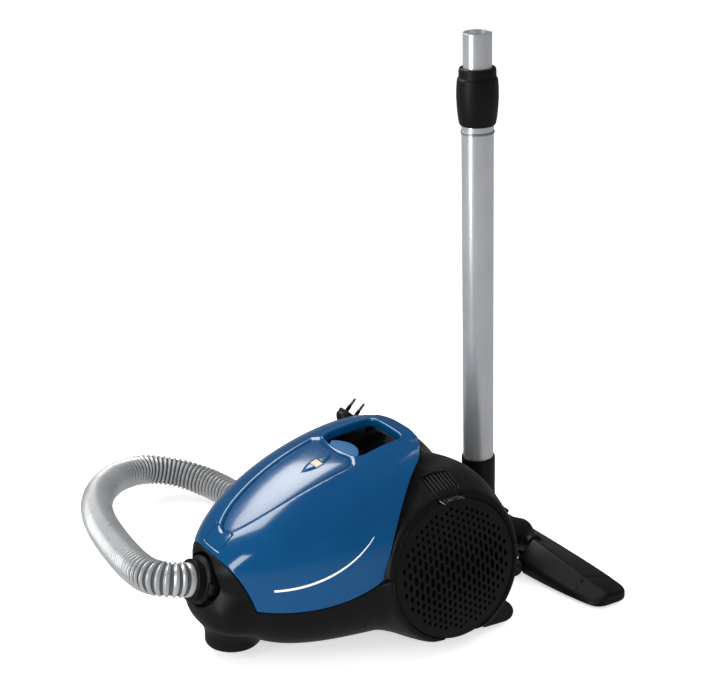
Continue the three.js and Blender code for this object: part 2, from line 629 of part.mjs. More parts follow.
function makeRearWheel(side) {
  const [h, r, stub] = [REAR_WHEEL_HALF, REAR_WHEEL_R, REAR_WHEEL_HALF + STUB];
  return turned([[0, -stub], [AXLE_R, -stub], [AXLE_R, -h], [r - 2, -h], [r, -h + 2], [r, h - 2], [r - 2, h],
    [AXLE_R, h], [AXLE_R, stub], [0, stub]], [side * REAR_WHEEL_X, REAR_WHEEL_Y, r], [1, 0, 0], 14);
}

// ---------------------------------------------------------------- inlet and hose
const FLANGE_H = [14, 18];
const INLET_SIDES = 20;
function makeInletTube() {
  return ring(INLET_R, INLET_R - INLET_WALL, -24, FLANGE_H[1], inletAt, inletAxis, INLET_SIDES);
}

function makeHoseConnector() {
  const spigot = INLET_R - INLET_WALL - GAP;
  const [flange, collar, end] = [FLANGE_H[1] + GAP, 24, 35];
  const profile = [[spigot - 2, -6], [spigot, -6], [spigot, flange], [INLET_R + 5, flange],
    [INLET_R + 6, 23], [INLET_R + 6, collar], [HOSE_R + 3.5, collar + 2], [HOSE_R + 3.5, end],
    [spigot - 2, end], [spigot - 2, -6]];
  const body = turned(profile, inletAt, inletAxis, INLET_SIDES);
  return body.subtract(joined(sides.map((side) => latchPocket(side, GAP, LATCH_TRAVEL))));
}

const LATCH_TRAVEL = 2;

function latchPocket(side, grow, travel = 0) {
  const [x0, x1] = [INLET_R + 2 - grow - travel, INLET_R + 7];
  const geometry = new THREE.BoxGeometry(x1 - x0, 12 + 2 * grow, 5 + 2 * grow);
  geometry.rotateX(Math.PI / 2);
  geometry.translate(side * (x0 + x1) / 2, 0, 0);
  geometry.applyQuaternion(new THREE.Quaternion().setFromUnitVectors(
    new THREE.Vector3(0, 1, 0), new THREE.Vector3(...inletAxis)));
  geometry.translate(...onInlet(21.4));
  return outward(geometry);
}

function makeInletSeal() {
  return ring(INLET_R - INLET_WALL - GAP - 0.1, INLET_R - INLET_WALL - 5, -10, -6.5, inletAt, inletAxis, INLET_SIDES);
}

function hoseCurve() {
  return new THREE.CatmullRomCurve3(HOSE_ROUTE.map((p) => new THREE.Vector3(...p)));
}

// hose end grip: a ring, a bend and a straight tail lying flat on the floor
function gripCurve() {
  const end = new THREE.Vector3(...HOSE_ROUTE.at(-1));
  const before = new THREE.Vector3(...HOSE_ROUTE.at(-2));
  const heading = hoseCurve().getTangent(1).setZ(0).normalize();
  const side = new THREE.Vector3(-heading.y, heading.x, 0);
  const path = new THREE.CurvePath();
  const start = end.clone().addScaledVector(heading, GAP).setZ(before.z);
  const bendStart = start.clone().addScaledVector(heading, GRIP.start);
  const at = (angle, ahead = 0) => bendStart.clone()
    .addScaledVector(heading, GRIP.bend * Math.sin(angle) + ahead * Math.cos(angle))
    .addScaledVector(side, GRIP.bend * (1 - Math.cos(angle)) + ahead * Math.sin(angle));
  const half = GRIP.angle / 2;
  const knee = bendStart.clone().addScaledVector(heading, GRIP.bend * Math.tan(half));
  path.add(new THREE.LineCurve3(start, bendStart));
  path.add(new THREE.QuadraticBezierCurve3(bendStart, knee, at(GRIP.angle)));
  path.add(new THREE.LineCurve3(at(GRIP.angle), at(GRIP.angle, GRIP.straight)));
  return path;
}

const gripPoint = (share) => gripCurve().getPointAt(share);
const SLIDER = { share: 0.72, half: 9, wide: 5, rise: 3 };

function sliderBox(grow, reachAlong = 0) {
  const centre = gripPoint(SLIDER.share);
  const tangent = gripCurve().getTangentAt(0.98);
  const geometry = new THREE.BoxGeometry(2 * (SLIDER.half + grow) + reachAlong, 2 * (SLIDER.wide + grow), 6);
  geometry.translate(-reachAlong / 2, 0, GRIP.r + SLIDER.rise - 3);
  geometry.rotateZ(Math.atan2(tangent.y, tangent.x));
  geometry.translate(centre.x, centre.y, centre.z);
  return outward(geometry);
}

function makeHoseHandle() {
  const curve = gripCurve();
  const outer = alongCurve(curve, GRIP.r, 9, 12);
  const inner = alongCurve(curve, GRIP.r - 2.5, 9, 8);
  const end = curve.getPointAt(1).toArray();
  const dir = curve.getTangentAt(0.99);
  const start = curve.getPointAt(0).toArray();
  const first = curve.getTangentAt(0.01).toArray();
  const openEnd = rod(GRIP.r - 2.5, curve.getPointAt(0.97).toArray(),
    [end[0] + dir.x * 5, end[1] + dir.y * 5, end[2]], 8);
  const openStart = rod(GRIP.r - 2.5, [start[0] - first[0] * 5, start[1] - first[1] * 5, start[2]],
    curve.getPointAt(0.03).toArray(), 8);
  const cuff = ring(HOSE_R + 0.4, GRIP.r - 1, 0, GRIP.start - 4, start, first, 16);
  return outer.add(cuff).subtract(inner).subtract(openEnd).subtract(openStart)
    .subtract(sliderBox(GAP, 12));
}

// ---------------------------------------------------------------- wand
const wand = new THREE.Group();
wand.position.set(0, WAND_Y, 0);
wand.rotation.x = WAND_LEAN;
model.add(wand);

function makeLowerTube() {
  return ring(TUBE_R, TUBE_R - TUBE_WALL, LOWER_TUBE[0], LOWER_TUBE[1], [0, 0, 0], [0, 0, 1], 14);
}

function makeUpperTube() {
  return ring(INNER_TUBE_R, INNER_TUBE_R - TUBE_WALL, UPPER_TUBE[0], UPPER_TUBE[1], [0, 0, 0], [0, 0, 1], 14);
}

// fixed inner sleeve that guides the upper tube and locks it
function makeTubeSleeve() {
  const [low, high] = [LOWER_TUBE[1] - 40, LOWER_TUBE[1] - GAP];
  return ring(TUBE_R - TUBE_WALL - 0.15, INNER_TUBE_R + 0.2, low, high, [0, 0, 0], [0, 0, 1], 14);
}

function makeTubeRing() {
  return ring(TUBE_R + 0.9, TUBE_R + GAP / 2, COLLAR[0] - 9, COLLAR[0] - 6.5, [0, 0, 0], [0, 0, 1], 14);
}

function makeSlideCollar() {
  const [z0, z1] = COLLAR;
  const bore = TUBE_R + GAP;
  const neck = INNER_TUBE_R + 1;
  return turned([[bore, z0], [TUBE_R + 1.4, z0], [TUBE_R + 4.2, z0 + 10], [TUBE_R + 5.6, z0 + 30],
    [TUBE_R + 4.6, z0 + 52], [TUBE_R + 2, z1 - 4], [TUBE_R + 1, z1], [neck, z1],
    [neck, LOWER_TUBE[1] + 8], [bore, LOWER_TUBE[1] + 8], [bore, z0]], [0, 0, 0], [0, 0, 1], 14);
}

function makeNozzleSocket() {
  const [z0, z1] = SOCKET;
  const bore = TUBE_R + GAP;
  const stop = LOWER_TUBE[0] - 0.5;
  return turned([[14, z0], [SOCKET_R - 0.5, z0], [SOCKET_R, z0 + 3], [SOCKET_R, z1 - 2], [SOCKET_R - 0.6, z1],
    [bore, z1], [bore, stop], [14, stop], [14, z0]], [0, 0, 0], [0, 0, 1], 14);
}

const wandAxis = [0, -Math.sin(WAND_LEAN), Math.cos(WAND_LEAN)];
const onWand = (h) => [0, WAND_Y + wandAxis[1] * h, wandAxis[2] * h];

// curved neck from the socket down to the tilt hinge, with the hook that parks the wand
function makeNozzleElbow() {
  const top = new THREE.Vector3(...onWand(SOCKET[0] - GAP));
  const knee = new THREE.Vector3(...onWand(58));
  const foot = new THREE.Vector3(0, NECK_Y - 3, NECK_Z + 5);
  const curve = new THREE.QuadraticBezierCurve3(top, knee, foot);
  const neck = alongCurve(curve, SOCKET_R - 1.5, 6, 16);
  const bore = alongCurve(curve, NECK_BORE, 6, 8).add(rod(NECK_BORE, onWand(SOCKET[0] - 8),
    onWand(SOCKET[0] + 5), 8));
  const hub = rod(HUB_R, [-HUB_HALF, NECK_Y, NECK_Z], [HUB_HALF, NECK_Y, NECK_Z], 16);
  const tongue = box(-PARK.half, PARK.half, PARK.y0, PARK.y1, PARK.z0, PARK.z1);
  const bridge = box(-PARK.half, PARK.half, PARK.y0, WAND_Y - SOCKET_R + 4, PARK.z1 - 6, PARK.z1);
  const hingeBore = rod(AXLE_R + 0.15, [-HUB_HALF - 1, NECK_Y, NECK_Z], [HUB_HALF + 1, NECK_Y, NECK_Z]);
  return neck.add(hub).add(tongue).add(bridge).subtract(bore).subtract(hingeBore)
    .subtract(rod(NECK_BORE - 2, [0, NECK_Y, NECK_Z - 20], [0, NECK_Y, NECK_Z + 4], 8));
}

// ---------------------------------------------------------------- floor nozzle
function nozzleRing(x, inset) {
  const count = 16;
  const share = Math.abs(x) / NOZZLE_HALF;
  const rear = NOZZLE_Y0 + 20 * share ** 2 + inset;
  const front = NOZZLE_Y1 - 6 * share ** 4 - inset;
  const taper = Math.sqrt(1 - share ** 8 * 0.9);
  const [middle, deep] = [(rear + front) / 2, (front - rear) / 2 * taper];
  const top = NOZZLE_Z + (NOZZLE_TIP_Z - NOZZLE_Z) * share ** 1.4 - inset;
  const base = SOLE_Z + inset;
  const lift = 5;
  return Array.from({ length: count }, (_, i) => {
    const angle = 2 * Math.PI * i / count;
    const [c, d] = [Math.cos(angle), Math.sin(angle)];
    const height = d >= 0 ? (top - base - lift) * d ** 0.8 : -lift * Math.abs(d) ** 0.5;
    return [x, middle + deep * Math.sign(c) * Math.abs(c) ** 0.7, base + lift + height];
  });
}

function nozzleShell(inset = 0) {
  const places = [-1, -0.97, -0.85, -0.6, -0.25, 0.25, 0.6, 0.85, 0.97, 1];
  return loft(places.map((share) => nozzleRing(share * (NOZZLE_HALF - inset), inset)));
}

function makeNozzleBody() {
  const pocket = rod(HUB_R + 0.6, [-HUB_HALF - 0.5, NECK_Y, NECK_Z], [HUB_HALF + 0.5, NECK_Y, NECK_Z], 16)
    .add(box(-HUB_HALF - 0.5, HUB_HALF + 0.5, 230, NECK_Y, 12, 60))
    .add(box(-NECK_NOTCH.half, NECK_NOTCH.half, 230, NECK_NOTCH.y1, -5, 20));
  const mouth = box(-MOUTH.half, MOUTH.half, MOUTH.y0, MOUTH.y1, -5, 13);
  const duct = box(-HUB_HALF + 4, HUB_HALF - 4, NECK_Y - 8, MOUTH.y1, -5, 18);
  const hinge = rod(AXLE_R + 0.15, [-HUB_HALF - 8, NECK_Y, NECK_Z], [HUB_HALF + 8, NECK_Y, NECK_Z]);
  const lugs = joined(sides.map((side) => {
    const x0 = side * (NOZZLE_WHEEL.x + NOZZLE_WHEEL.half + 0.6);
    const [a, b] = [Math.min(x0, x0 + side * 5), Math.max(x0, x0 + side * 5)];
    return box(a, b, NOZZLE_WHEEL.y - 6, NOZZLE_Y0 + 20, 5, 17);
  }));
  const axle = rod(AXLE_R + 0.15, [-NOZZLE_WHEEL.x - 12, NOZZLE_WHEEL.y, NOZZLE_WHEEL.r],
    [NOZZLE_WHEEL.x + 12, NOZZLE_WHEEL.y, NOZZLE_WHEEL.r]);
  const wheelRoom = joined(sides.map((side) => rod(NOZZLE_WHEEL.r + 1.5,
    [side * (NOZZLE_WHEEL.x - NOZZLE_WHEEL.half - 0.6), NOZZLE_WHEEL.y, NOZZLE_WHEEL.r],
    [side * (NOZZLE_WHEEL.x + NOZZLE_WHEEL.half + 0.6), NOZZLE_WHEEL.y, NOZZLE_WHEEL.r])));
  const slots = joined([BRUSH.front, BRUSH.rear].map((y) => (
    box(-BRUSH.half - 0.5, BRUSH.half + 0.5, y - BRUSH.thick / 2 - GAP, y + BRUSH.thick / 2 + GAP, 0, BRUSH.z1 + 1))));
  const tieSlots = joined(sides.map((side) => {
    const [a, b] = [side * (BRUSH.half + 0.5), side * (BRUSH.half - BRUSH_TIE - 0.5)].sort((m, n) => m - n);
    return box(a, b, BRUSH.rear, BRUSH.front, 0, BRUSH.z1 + 1);
  }));
  const pedalPocket = box(PEDAL.x0 - 0.5, PEDAL.x1 + 0.5, PEDAL.y0 - 0.5, PEDAL.y1 + 0.5, PEDAL_Z - 5, 60);
  return nozzleShell().add(lugs).subtract(pocket).subtract(mouth).subtract(duct).subtract(hinge)
    .subtract(axle).subtract(wheelRoom).subtract(slots).subtract(tieSlots)
    .subtract(pedalPocket);
}

function soleOutline(inset) {
  const shape = new THREE.Shape();
  const half = NOZZLE_HALF - 12 - inset;
  shape.moveTo(-half, NOZZLE_Y0 + 28 + inset);
  shape.lineTo(-HUB_HALF - 6, NOZZLE_Y0 + 12 + inset);
  shape.lineTo(-NECK_NOTCH.half, NOZZLE_Y0 + 12 + inset);
  shape.lineTo(-NECK_NOTCH.half, NECK_NOTCH.y1);
  shape.lineTo(NECK_NOTCH.half, NECK_NOTCH.y1);
  shape.lineTo(NECK_NOTCH.half, NOZZLE_Y0 + 12 + inset);
  shape.lineTo(HUB_HALF + 6, NOZZLE_Y0 + 12 + inset);
  shape.lineTo(half, NOZZLE_Y0 + 28 + inset);
  shape.lineTo(half, NOZZLE_Y1 - 12 - inset);
  shape.quadraticCurveTo(0, NOZZLE_Y1 - 2 - inset, -half, NOZZLE_Y1 - 12 - inset);
  return shape;
}

function makeSolePlate() {
  const slots = joined([BRUSH.front, BRUSH.rear].map((y) => (
    box(-BRUSH.half - 0.5, BRUSH.half + 0.5, y - BRUSH.thick / 2 - GAP, y + BRUSH.thick / 2 + GAP, -2, 8))));
  return planSlab(soleOutline(0), 0, SOLE_Z - GAP, 6)
    .subtract(box(-MOUTH.half, MOUTH.half, MOUTH.y0, MOUTH.y1, -2, 8)).subtract(slots);
}

// two bristle strips on one frame that slides up and down
function makeBrushFrame() {
  const { half, thick, front, rear, z0, z1 } = BRUSH;
  const strips = [front, rear].map((y) => box(-half, half, y - thick / 2, y + thick / 2, z0, z1 - 3));
  const ties = sides.map((side) => {
    const [a, b] = [side * half, side * (half - BRUSH_TIE)].sort((m, n) => m - n);
    return box(a, b, rear, front, z1 - 6, z1 - 3);
  });
  return joined([...strips, ...ties]);
}

function makeRockerPedal() {
  return box(PEDAL.x0, PEDAL.x1, PEDAL.y0, PEDAL.y1, PEDAL_Z, PEDAL_Z + 7);
}

function makeNozzleWheel(side) {
  const { x, y, r, half } = NOZZLE_WHEEL;
  const stub = half + STUB;
  return turned([[0, -half], [r - 1, -half], [r, -half + 1], [r, half - 1], [r - 1, half], [AXLE_R, half],
    [AXLE_R, stub], [0, stub]], [side * x, y, r], [side, 0, 0], 14);
}

function makeNozzlePin() {
  return rod(AXLE_R, [-HUB_HALF - 7, NECK_Y, NECK_Z], [HUB_HALF + 7, NECK_Y, NECK_Z], 14);
}

// ---------------------------------------------------------------- dust side
function makeDustBag() {
  const room = box(-120, 120, -128, -10, 26, 200);
  return egg(15).intersect(room).subtract(drum(-7)).subtract(rod(70, onInlet(-31), onInlet(60), 12))
    .subtract(rod(CASTOR_POCKET_R + 8, [0, CASTOR_Y, 0], [0, CASTOR_Y, CASTOR_POCKET_TOP + 14], 12));
}

function makeBagHolder() {
  return ring(40, 17, -29, -26.5, inletAt, inletAxis, 14).intersect(egg(WALL + 3.5));
}

const FILTER_WINDOW = { half: 45, z0: 45, z1: SEAM_Z - 12 };

function makeMotorFilter() {
  const { half, z0, z1 } = FILTER_WINDOW;
  return drum(-3.5).subtract(drum(4)).intersect(box(-half + GAP, half - GAP, -30, 40, z0 + GAP, z1 - GAP));
}

// ---------------------------------------------------------------- motor and reel
const acrossAt = ({ y, z }) => [[0, y, z], [1, 0, 0]];

function makeMotorShell() {
  const { x0, x1, r } = MOTOR;
  return turned([[20, x0], [r, x0], [r, x1], [30, x1], [30, x1 - 2.5], [r - 2.5, x1 - 2.5],
    [r - 2.5, x0 + 2.5], [20, x0 + 2.5], [20, x0]], ...acrossAt(MOTOR), 14);
}

function makeMotorStator() {
  const { x0 } = MOTOR;
  return ring(36, 22, x0 + 32, x0 + 70, ...acrossAt(MOTOR), 14);
}

function makeMotorRotor() {
  const { x0, x1, r } = MOTOR;
  return turned([[0, x0 - 4], [4, x0 - 4], [4, x0 + 6], [r - 6, x0 + 6], [r - 6, x0 + 19], [4, x0 + 21],
    [4, x0 + 30], [21, x0 + 32], [21, x0 + 68], [4, x0 + 70], [4, x1 + 4], [0, x1 + 4]],
  ...acrossAt(MOTOR), 14);
}

function makeMotorMount() {
  const { x0, r } = MOTOR;
  return ring(r + 6, r + GAP, x0 + 6, x0 + 16, ...acrossAt(MOTOR), 14);
}

function makeReelDrum() {
  const { x0, x1, r, hub } = REEL;
  return turned([[4.3, x0], [r, x0], [r, x0 + 2.5], [hub, x0 + 2.5], [hub, x1 - 2.5], [r, x1 - 2.5],
    [r, x1], [4.3, x1], [4.3, x0]], ...acrossAt(REEL), 14);
}

function makeReelWinding() {
  const { x0, x1, r, hub } = REEL;
  return ring(r - 8, hub + GAP, x0 + 2.5 + GAP, x1 - 2.5 - GAP, ...acrossAt(REEL), 14);
}

function makeReelAxle() {
  const { x0, x1 } = REEL;
  const plate = x1 + 14;
  return turned([[0, x0 - 4], [4, x0 - 4], [4, plate], [30, plate], [30, plate + 3], [0, plate + 3]],
    ...acrossAt(REEL), 14);
}

function makeReelSpringCase() {
  const { x1 } = REEL;
  return ring(32, 4 + GAP, x1 + 1, x1 + 12, ...acrossAt(REEL), 14);
}

function makeControlBoard() {
  return box(-34, -6, 84, 124, 158, 159.6).add(box(-28, -12, 92, 112, 159.6, 168));
}

// ---------------------------------------------------------------- parked mains plug
const plugAxis = [0, 0.68, 0.733];
const onPlug = (h) => [PLUG.x, PLUG.y + plugAxis[1] * h, PLUG.z + plugAxis[2] * h];

function makeCordOutlet() {
  return ring(9, 4.2, -9, -1, onPlug(0), plugAxis, 12);
}

function makePlug() {
  const { r, long, pin } = PLUG;
  const profile = [[0, 0.5], [6, 0.5], [r - 4, 5], [r, 11], [r, long], [0, long]];
  const pins = joined([-9.5, 9.5].map((x) => {
    const [from, to] = [onPlug(long - 2), onPlug(long + pin)];
    return rod(2.4, [from[0] + x, from[1], from[2]], [to[0] + x, to[1], to[2]], 8);
  }));
  return turned(profile, onPlug(0), plugAxis, 16).add(rod(3.6, onPlug(-8), onPlug(3), 10)).add(pins);
}

// ---------------------------------------------------------------- assembly
add('lower_housing', makeLowerHousing(), BLACK);
add('rear_housing', makeRearHousing(), BLACK);
add('lid', makeLid(), BLUE);
add('lid_top_panel', topPanelSolid().subtract(indicatorOutline(GAP)), BLUE);
add('bag_indicator', makeIndicator(), CREAM);
add('lid_catch', makeLidCatch(), BLUE);
add('lid_hinge_pin', makeHingePin(), STEEL);
add('power_button', makePowerButton(), PALE_BLUE);
add('button_frame', makeButtonFrame(), BLACK);
for (const [label, side] of [['left', 1], ['right', -1]]) {
  add(`${label}_lid_seal`, makeLidSeal(side), RUBBER);
  add(`lid_stripe_${label}`, stripeSolid(side), WHITE);
  add(`${label}_grille`, makeGrille(side), BLACK);
  add(`${label}_rear_wheel`, makeRearWheel(side), RUBBER);
  add(`${label}_nozzle_wheel`, makeNozzleWheel(side), RUBBER);
}
add('grip_ribs', makeGripRibs(1), DARK);
add('grille_latch', makeGrilleLatch(1), BLACK);
add('exhaust_filter', makeExhaustFilter(1), FOAM);
add('castor_fork', makeCastorFork(), DARK);
add('castor_wheels', makeCastorWheels(), RUBBER);
add('dust_bag', makeDustBag(), PAPER);
add('bag_holder', makeBagHolder(), GREEN);
add('motor_filter', makeMotorFilter(), FOAM);
add('inlet_tube', makeInletTube(), DARK);
add('inlet_seal', makeInletSeal(), RUBBER);
add('hose_connector', makeHoseConnector(), BLACK);
for (const [label, side] of [['left', 1], ['right', -1]]) {
  add(`${label}_hose_latch`, latchPocket(side, 0), DARK);
}
add('hose', alongCurve(hoseCurve(), HOSE_R, HOSE_STEPS), HOSE_GREY);
add('hose_handle', makeHoseHandle(), BLACK);
add('bypass_slider', sliderBox(0), DARK);
add('motor_shell', makeMotorShell(), DARK);
add('motor_stator', makeMotorStator(), COPPER);
add('motor_rotor', makeMotorRotor(), STEEL);
add('motor_mount', makeMotorMount(), RUBBER);
add('reel_drum', makeReelDrum(), DARK);
add('reel_cord', makeReelWinding(), RUBBER);
add('reel_axle', makeReelAxle(), STEEL);
add('reel_spring_case', makeReelSpringCase(), STEEL);
add('control_board', makeControlBoard(), GREEN);
add('cord_outlet', makeCordOutlet(), DARK);
add('plug', makePlug(), BLACK);
add('lower_tube', makeLowerTube(), SILVER, wand);
add('upper_tube', makeUpperTube(), SILVER, wand);
add('tube_sleeve', makeTubeSleeve(), DARK, wand);
add('tube_ring', makeTubeRing(), SILVER, wand);
add('slide_collar', makeSlideCollar(), BLACK, wand);
add('nozzle_socket', makeNozzleSocket(), BLACK, wand);
add('nozzle_elbow', makeNozzleElbow(), BLACK);
add('nozzle_body', makeNozzleBody(), BLACK);
add('sole_plate', makeSolePlate(), STEEL);
add('brush_frame', makeBrushFrame(), RUBBER);
add('rocker_pedal', makeRockerPedal(), DARK);
add('nozzle_hinge_pin', makeNozzlePin(), STEEL);

export default model;
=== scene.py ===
# Canister vacuum cleaner: smooth moulded shells, corrugated hose, plated wand and materials,
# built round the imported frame.  Millimetres inside the helpers, metres on every mesh.
import math

import bpy
import numpy as np
from mathutils import Matrix, Vector


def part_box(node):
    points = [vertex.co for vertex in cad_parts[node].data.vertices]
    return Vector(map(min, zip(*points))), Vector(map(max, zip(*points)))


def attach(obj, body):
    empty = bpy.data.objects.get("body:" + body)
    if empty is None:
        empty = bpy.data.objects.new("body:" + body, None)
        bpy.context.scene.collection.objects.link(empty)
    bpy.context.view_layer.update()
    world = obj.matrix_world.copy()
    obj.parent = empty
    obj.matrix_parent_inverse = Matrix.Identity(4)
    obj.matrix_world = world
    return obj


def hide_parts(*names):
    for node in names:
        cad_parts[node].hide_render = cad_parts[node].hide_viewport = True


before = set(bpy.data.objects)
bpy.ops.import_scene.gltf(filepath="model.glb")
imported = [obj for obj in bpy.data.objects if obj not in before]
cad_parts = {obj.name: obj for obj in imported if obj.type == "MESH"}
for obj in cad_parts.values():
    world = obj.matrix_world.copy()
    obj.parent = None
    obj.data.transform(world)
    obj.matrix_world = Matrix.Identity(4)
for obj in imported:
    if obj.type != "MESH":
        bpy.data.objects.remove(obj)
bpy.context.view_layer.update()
MM = 0.001
ORIGIN = np.array([0, -74.1, 0])     # where the makers' zero lies in the frame

# ------------------------------------------------------------------ camera
CAMERA_AT = (1.4668, -0.9873, 0.9871)
CAMERA_RIGHT = Vector((0.5427, 0.8399, 0.0))
CAMERA_UP = Vector((-0.2973, 0.1921, 0.9353))
CAMERA_BACK = Vector((0.7855, -0.5076, 0.3540))
LENS_MM = 87.30

camera = bpy.data.objects.new("camera", bpy.data.cameras.new("camera"))
camera.data.lens = LENS_MM
camera.data.sensor_width = 36.0
camera.data.sensor_fit = "HORIZONTAL"
camera.data.clip_end = 50
turn = Matrix((CAMERA_RIGHT, CAMERA_UP, CAMERA_BACK)).transposed().to_4x4()
camera.matrix_world = Matrix.Translation(CAMERA_AT) @ turn
bpy.context.scene.collection.objects.link(camera)
bpy.context.scene.camera = camera


# ------------------------------------------------------------------ mesh helpers
def smooth_object(name, verts, faces, normals=None, sharp=None):
    """A shaded mesh object from millimetre points; faces is an array or a list of rings."""
    mesh = bpy.data.meshes.new(name)
    mesh.from_pydata(((np.asarray(verts, float) + ORIGIN) * MM).tolist(), [],
                     faces.tolist() if isinstance(faces, np.ndarray) else faces)
    mesh.update()
    mesh.shade_smooth()
    obj = bpy.data.objects.new(name, mesh)
    bpy.context.scene.collection.objects.link(obj)
    if normals is not None:
        mesh.normals_split_custom_set_from_vertices(np.asarray(normals, float).tolist())
    elif sharp is not None:
        mesh.set_sharp_from_angle(angle=math.radians(sharp))
    return obj


def piece(obj, body, material, nodes):
    """Puts a finished piece on its body with its material, in place of its CAD nodes."""
    obj.data.materials.clear()
    for each in material if isinstance(material, (list, tuple)) else [material]:
        obj.data.materials.append(each)
    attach(obj, body)
    if nodes:
        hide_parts(*([nodes] if isinstance(nodes, str) else nodes))
    return obj


def turned(name, profile, at, axis, sides=72, sharp=32):
    """A solid of revolution; profile is a list of (radius, height) along the axis."""
    axis = np.asarray(axis, float) / np.linalg.norm(axis)
    side = np.cross(axis, (0, 0, 1) if abs(axis[2]) < 0.9 else (1, 0, 0))
    side /= np.linalg.norm(side)
    other = np.cross(axis, side)
    angles = np.linspace(0, 2 * np.pi, sides, endpoint=False)
    rim = np.outer(np.cos(angles), side) + np.outer(np.sin(angles), other)
    points, rings = [], []
    for r, h in profile:
        centre = np.asarray(at, float) + axis * h
        if r < 1e-6:
            rings.append([len(points)])
            points.append(centre)
        else:
            rings.append(list(range(len(points), len(points) + sides)))
            points.extend(centre + r * rim)
    faces = []
    for low, high in zip(rings, rings[1:]):
        for i in range(sides):
            j = (i + 1) % sides
            if len(low) == 1 and len(high) == 1:
                continue
            if len(low) == 1:
                faces.append([low[0], high[j], high[i]])
            elif len(high) == 1:
                faces.append([low[i], low[j], high[0]])
            else:
                faces.append([low[i], low[j], high[j], high[i]])
    return smooth_object(name, points, faces, sharp=sharp)


def rounded(profile, r=0.8, steps=4):
    """Rounds the corners of a turned profile."""
    pts = [np.array(p, float) for p in profile]
    out = [pts[0]]
    for a, b, c in zip(pts, pts[1:], pts[2:]):
        u, v = a - b, c - b
        lu, lv = np.linalg.norm(u), np.linalg.norm(v)
        cut = min(r, lu * 0.45, lv * 0.45)
        if cut < 1e-3 or abs(np.cross(u / lu, v / lv)) < 0.15:
            out.append(b)
            continue
        start, end = b + u / lu * cut, b + v / lv * cut
        for t in np.linspace(0, 1, steps + 1):
            out.append((1 - t) ** 2 * start + 2 * t * (1 - t) * b + t * t * end)
    out.append(pts[-1])
    return [tuple(p) for p in out]


# ------------------------------------------------------------------ fields
# A field gives each point's distance to a shape, negative inside.  Points are an N by 3 array.
def both(a, b, r=1.5):
    """What two shapes share, its new edge rounded by r."""
    h = np.maximum(r - np.abs(a - b), 0) / r
    return np.maximum(a, b) + h * h * r / 4


def either(a, b, r=1.5):
    return -both(-a, -b, r)


def minus(a, b, r=1.5):
    return both(a, -b, r)


def field_box(p, x0, x1, y0, y1, z0, z1, r=0.0):
    centre = np.array([(x0 + x1) / 2, (y0 + y1) / 2, (z0 + z1) / 2])
    half = np.array([(x1 - x0) / 2, (y1 - y0) / 2, (z1 - z0) / 2]) - r
    q = np.abs(p - centre) - half
    return np.linalg.norm(np.maximum(q, 0), axis=1) + np.minimum(q.max(axis=1), 0) - r


def along(p, at, axis):
    """Distance from an axis, and height along it."""
    axis = np.asarray(axis, float) / np.linalg.norm(axis)
    d = p - np.asarray(at, float)
    h = d @ axis
    return np.linalg.norm(d - h[:, None] * axis, axis=1), h


def field_rod(p, r, at, axis, h0=-1e4, h1=1e4, edge=0.6):
    radius, h = along(p, at, axis)
    return both(radius - r, np.maximum(h0 - h, h - h1), edge)


class Outline:
    """Distance to a closed outline drawn on two of the three axes, read from a table."""

    def __init__(self, points, axes, step=1.0, margin=26):
        self.axes = axes
        self.step = step
        pts = np.asarray(points, float)
        self.low = pts.min(axis=0) - margin
        n = np.ceil((pts.max(axis=0) + margin - self.low) / step).astype(int) + 1
        grid = np.stack(np.meshgrid(*[self.low[i] + step * np.arange(n[i]) for i in (0, 1)],
                                    indexing="ij"), -1).reshape(-1, 2)
        best = np.full(len(grid), 1e9)
        inside = np.zeros(len(grid), bool)
        for a, b in zip(pts, np.roll(pts, -1, axis=0)):
            e = b - a
            w = grid - a
            t = np.clip((w @ e) / max(e @ e, 1e-12), 0, 1)
            best = np.minimum(best, np.sum((w - t[:, None] * e) ** 2, axis=1))
            cross = (a[1] <= grid[:, 1]) != (b[1] <= grid[:, 1])
            if abs(e[1]) > 1e-12:
                inside ^= cross & (grid[:, 0] < a[0] + (grid[:, 1] - a[1]) / e[1] * e[0])
        self.table = np.where(inside, -1, 1) * np.sqrt(best)
        self.table = self.table.reshape(n)

    def __call__(self, p):
        q = (p[:, self.axes] - self.low) / self.step
        top = np.array(self.table.shape) - 1.001
        q = np.clip(q, 0, top)
        i = q.astype(int)
        f = q - i
        t = self.table
        a = t[i[:, 0], i[:, 1]] * (1 - f[:, 0]) + t[i[:, 0] + 1, i[:, 1]] * f[:, 0]
        b = t[i[:, 0], i[:, 1] + 1] * (1 - f[:, 0]) + t[i[:, 0] + 1, i[:, 1] + 1] * f[:, 0]
        return a * (1 - f[:, 1]) + b * f[:, 1]


def bezier(*points, count=14):
    """Points of a quadratic or cubic curve, its first point left out."""
    t = np.linspace(0, 1, count + 1)[1:, None]
    p = [np.array(q, float) for q in points]
    if len(p) == 3:
        return (1 - t) ** 2 * p[0] + 2 * t * (1 - t) * p[1] + t * t * p[2]
    return ((1 - t) ** 3 * p[0] + 3 * t * (1 - t) ** 2 * p[1]
            + 3 * t * t * (1 - t) * p[2] + t ** 3 * p[3])


def slope(field, p, eps=0.05):
    """The field's gradient."""
    out = np.empty_like(p)
    for k in range(3):
        d = np.zeros(3)
        d[k] = eps
        out[:, k] = (field(p + d) - field(p - d)) / (2 * eps)
    return out


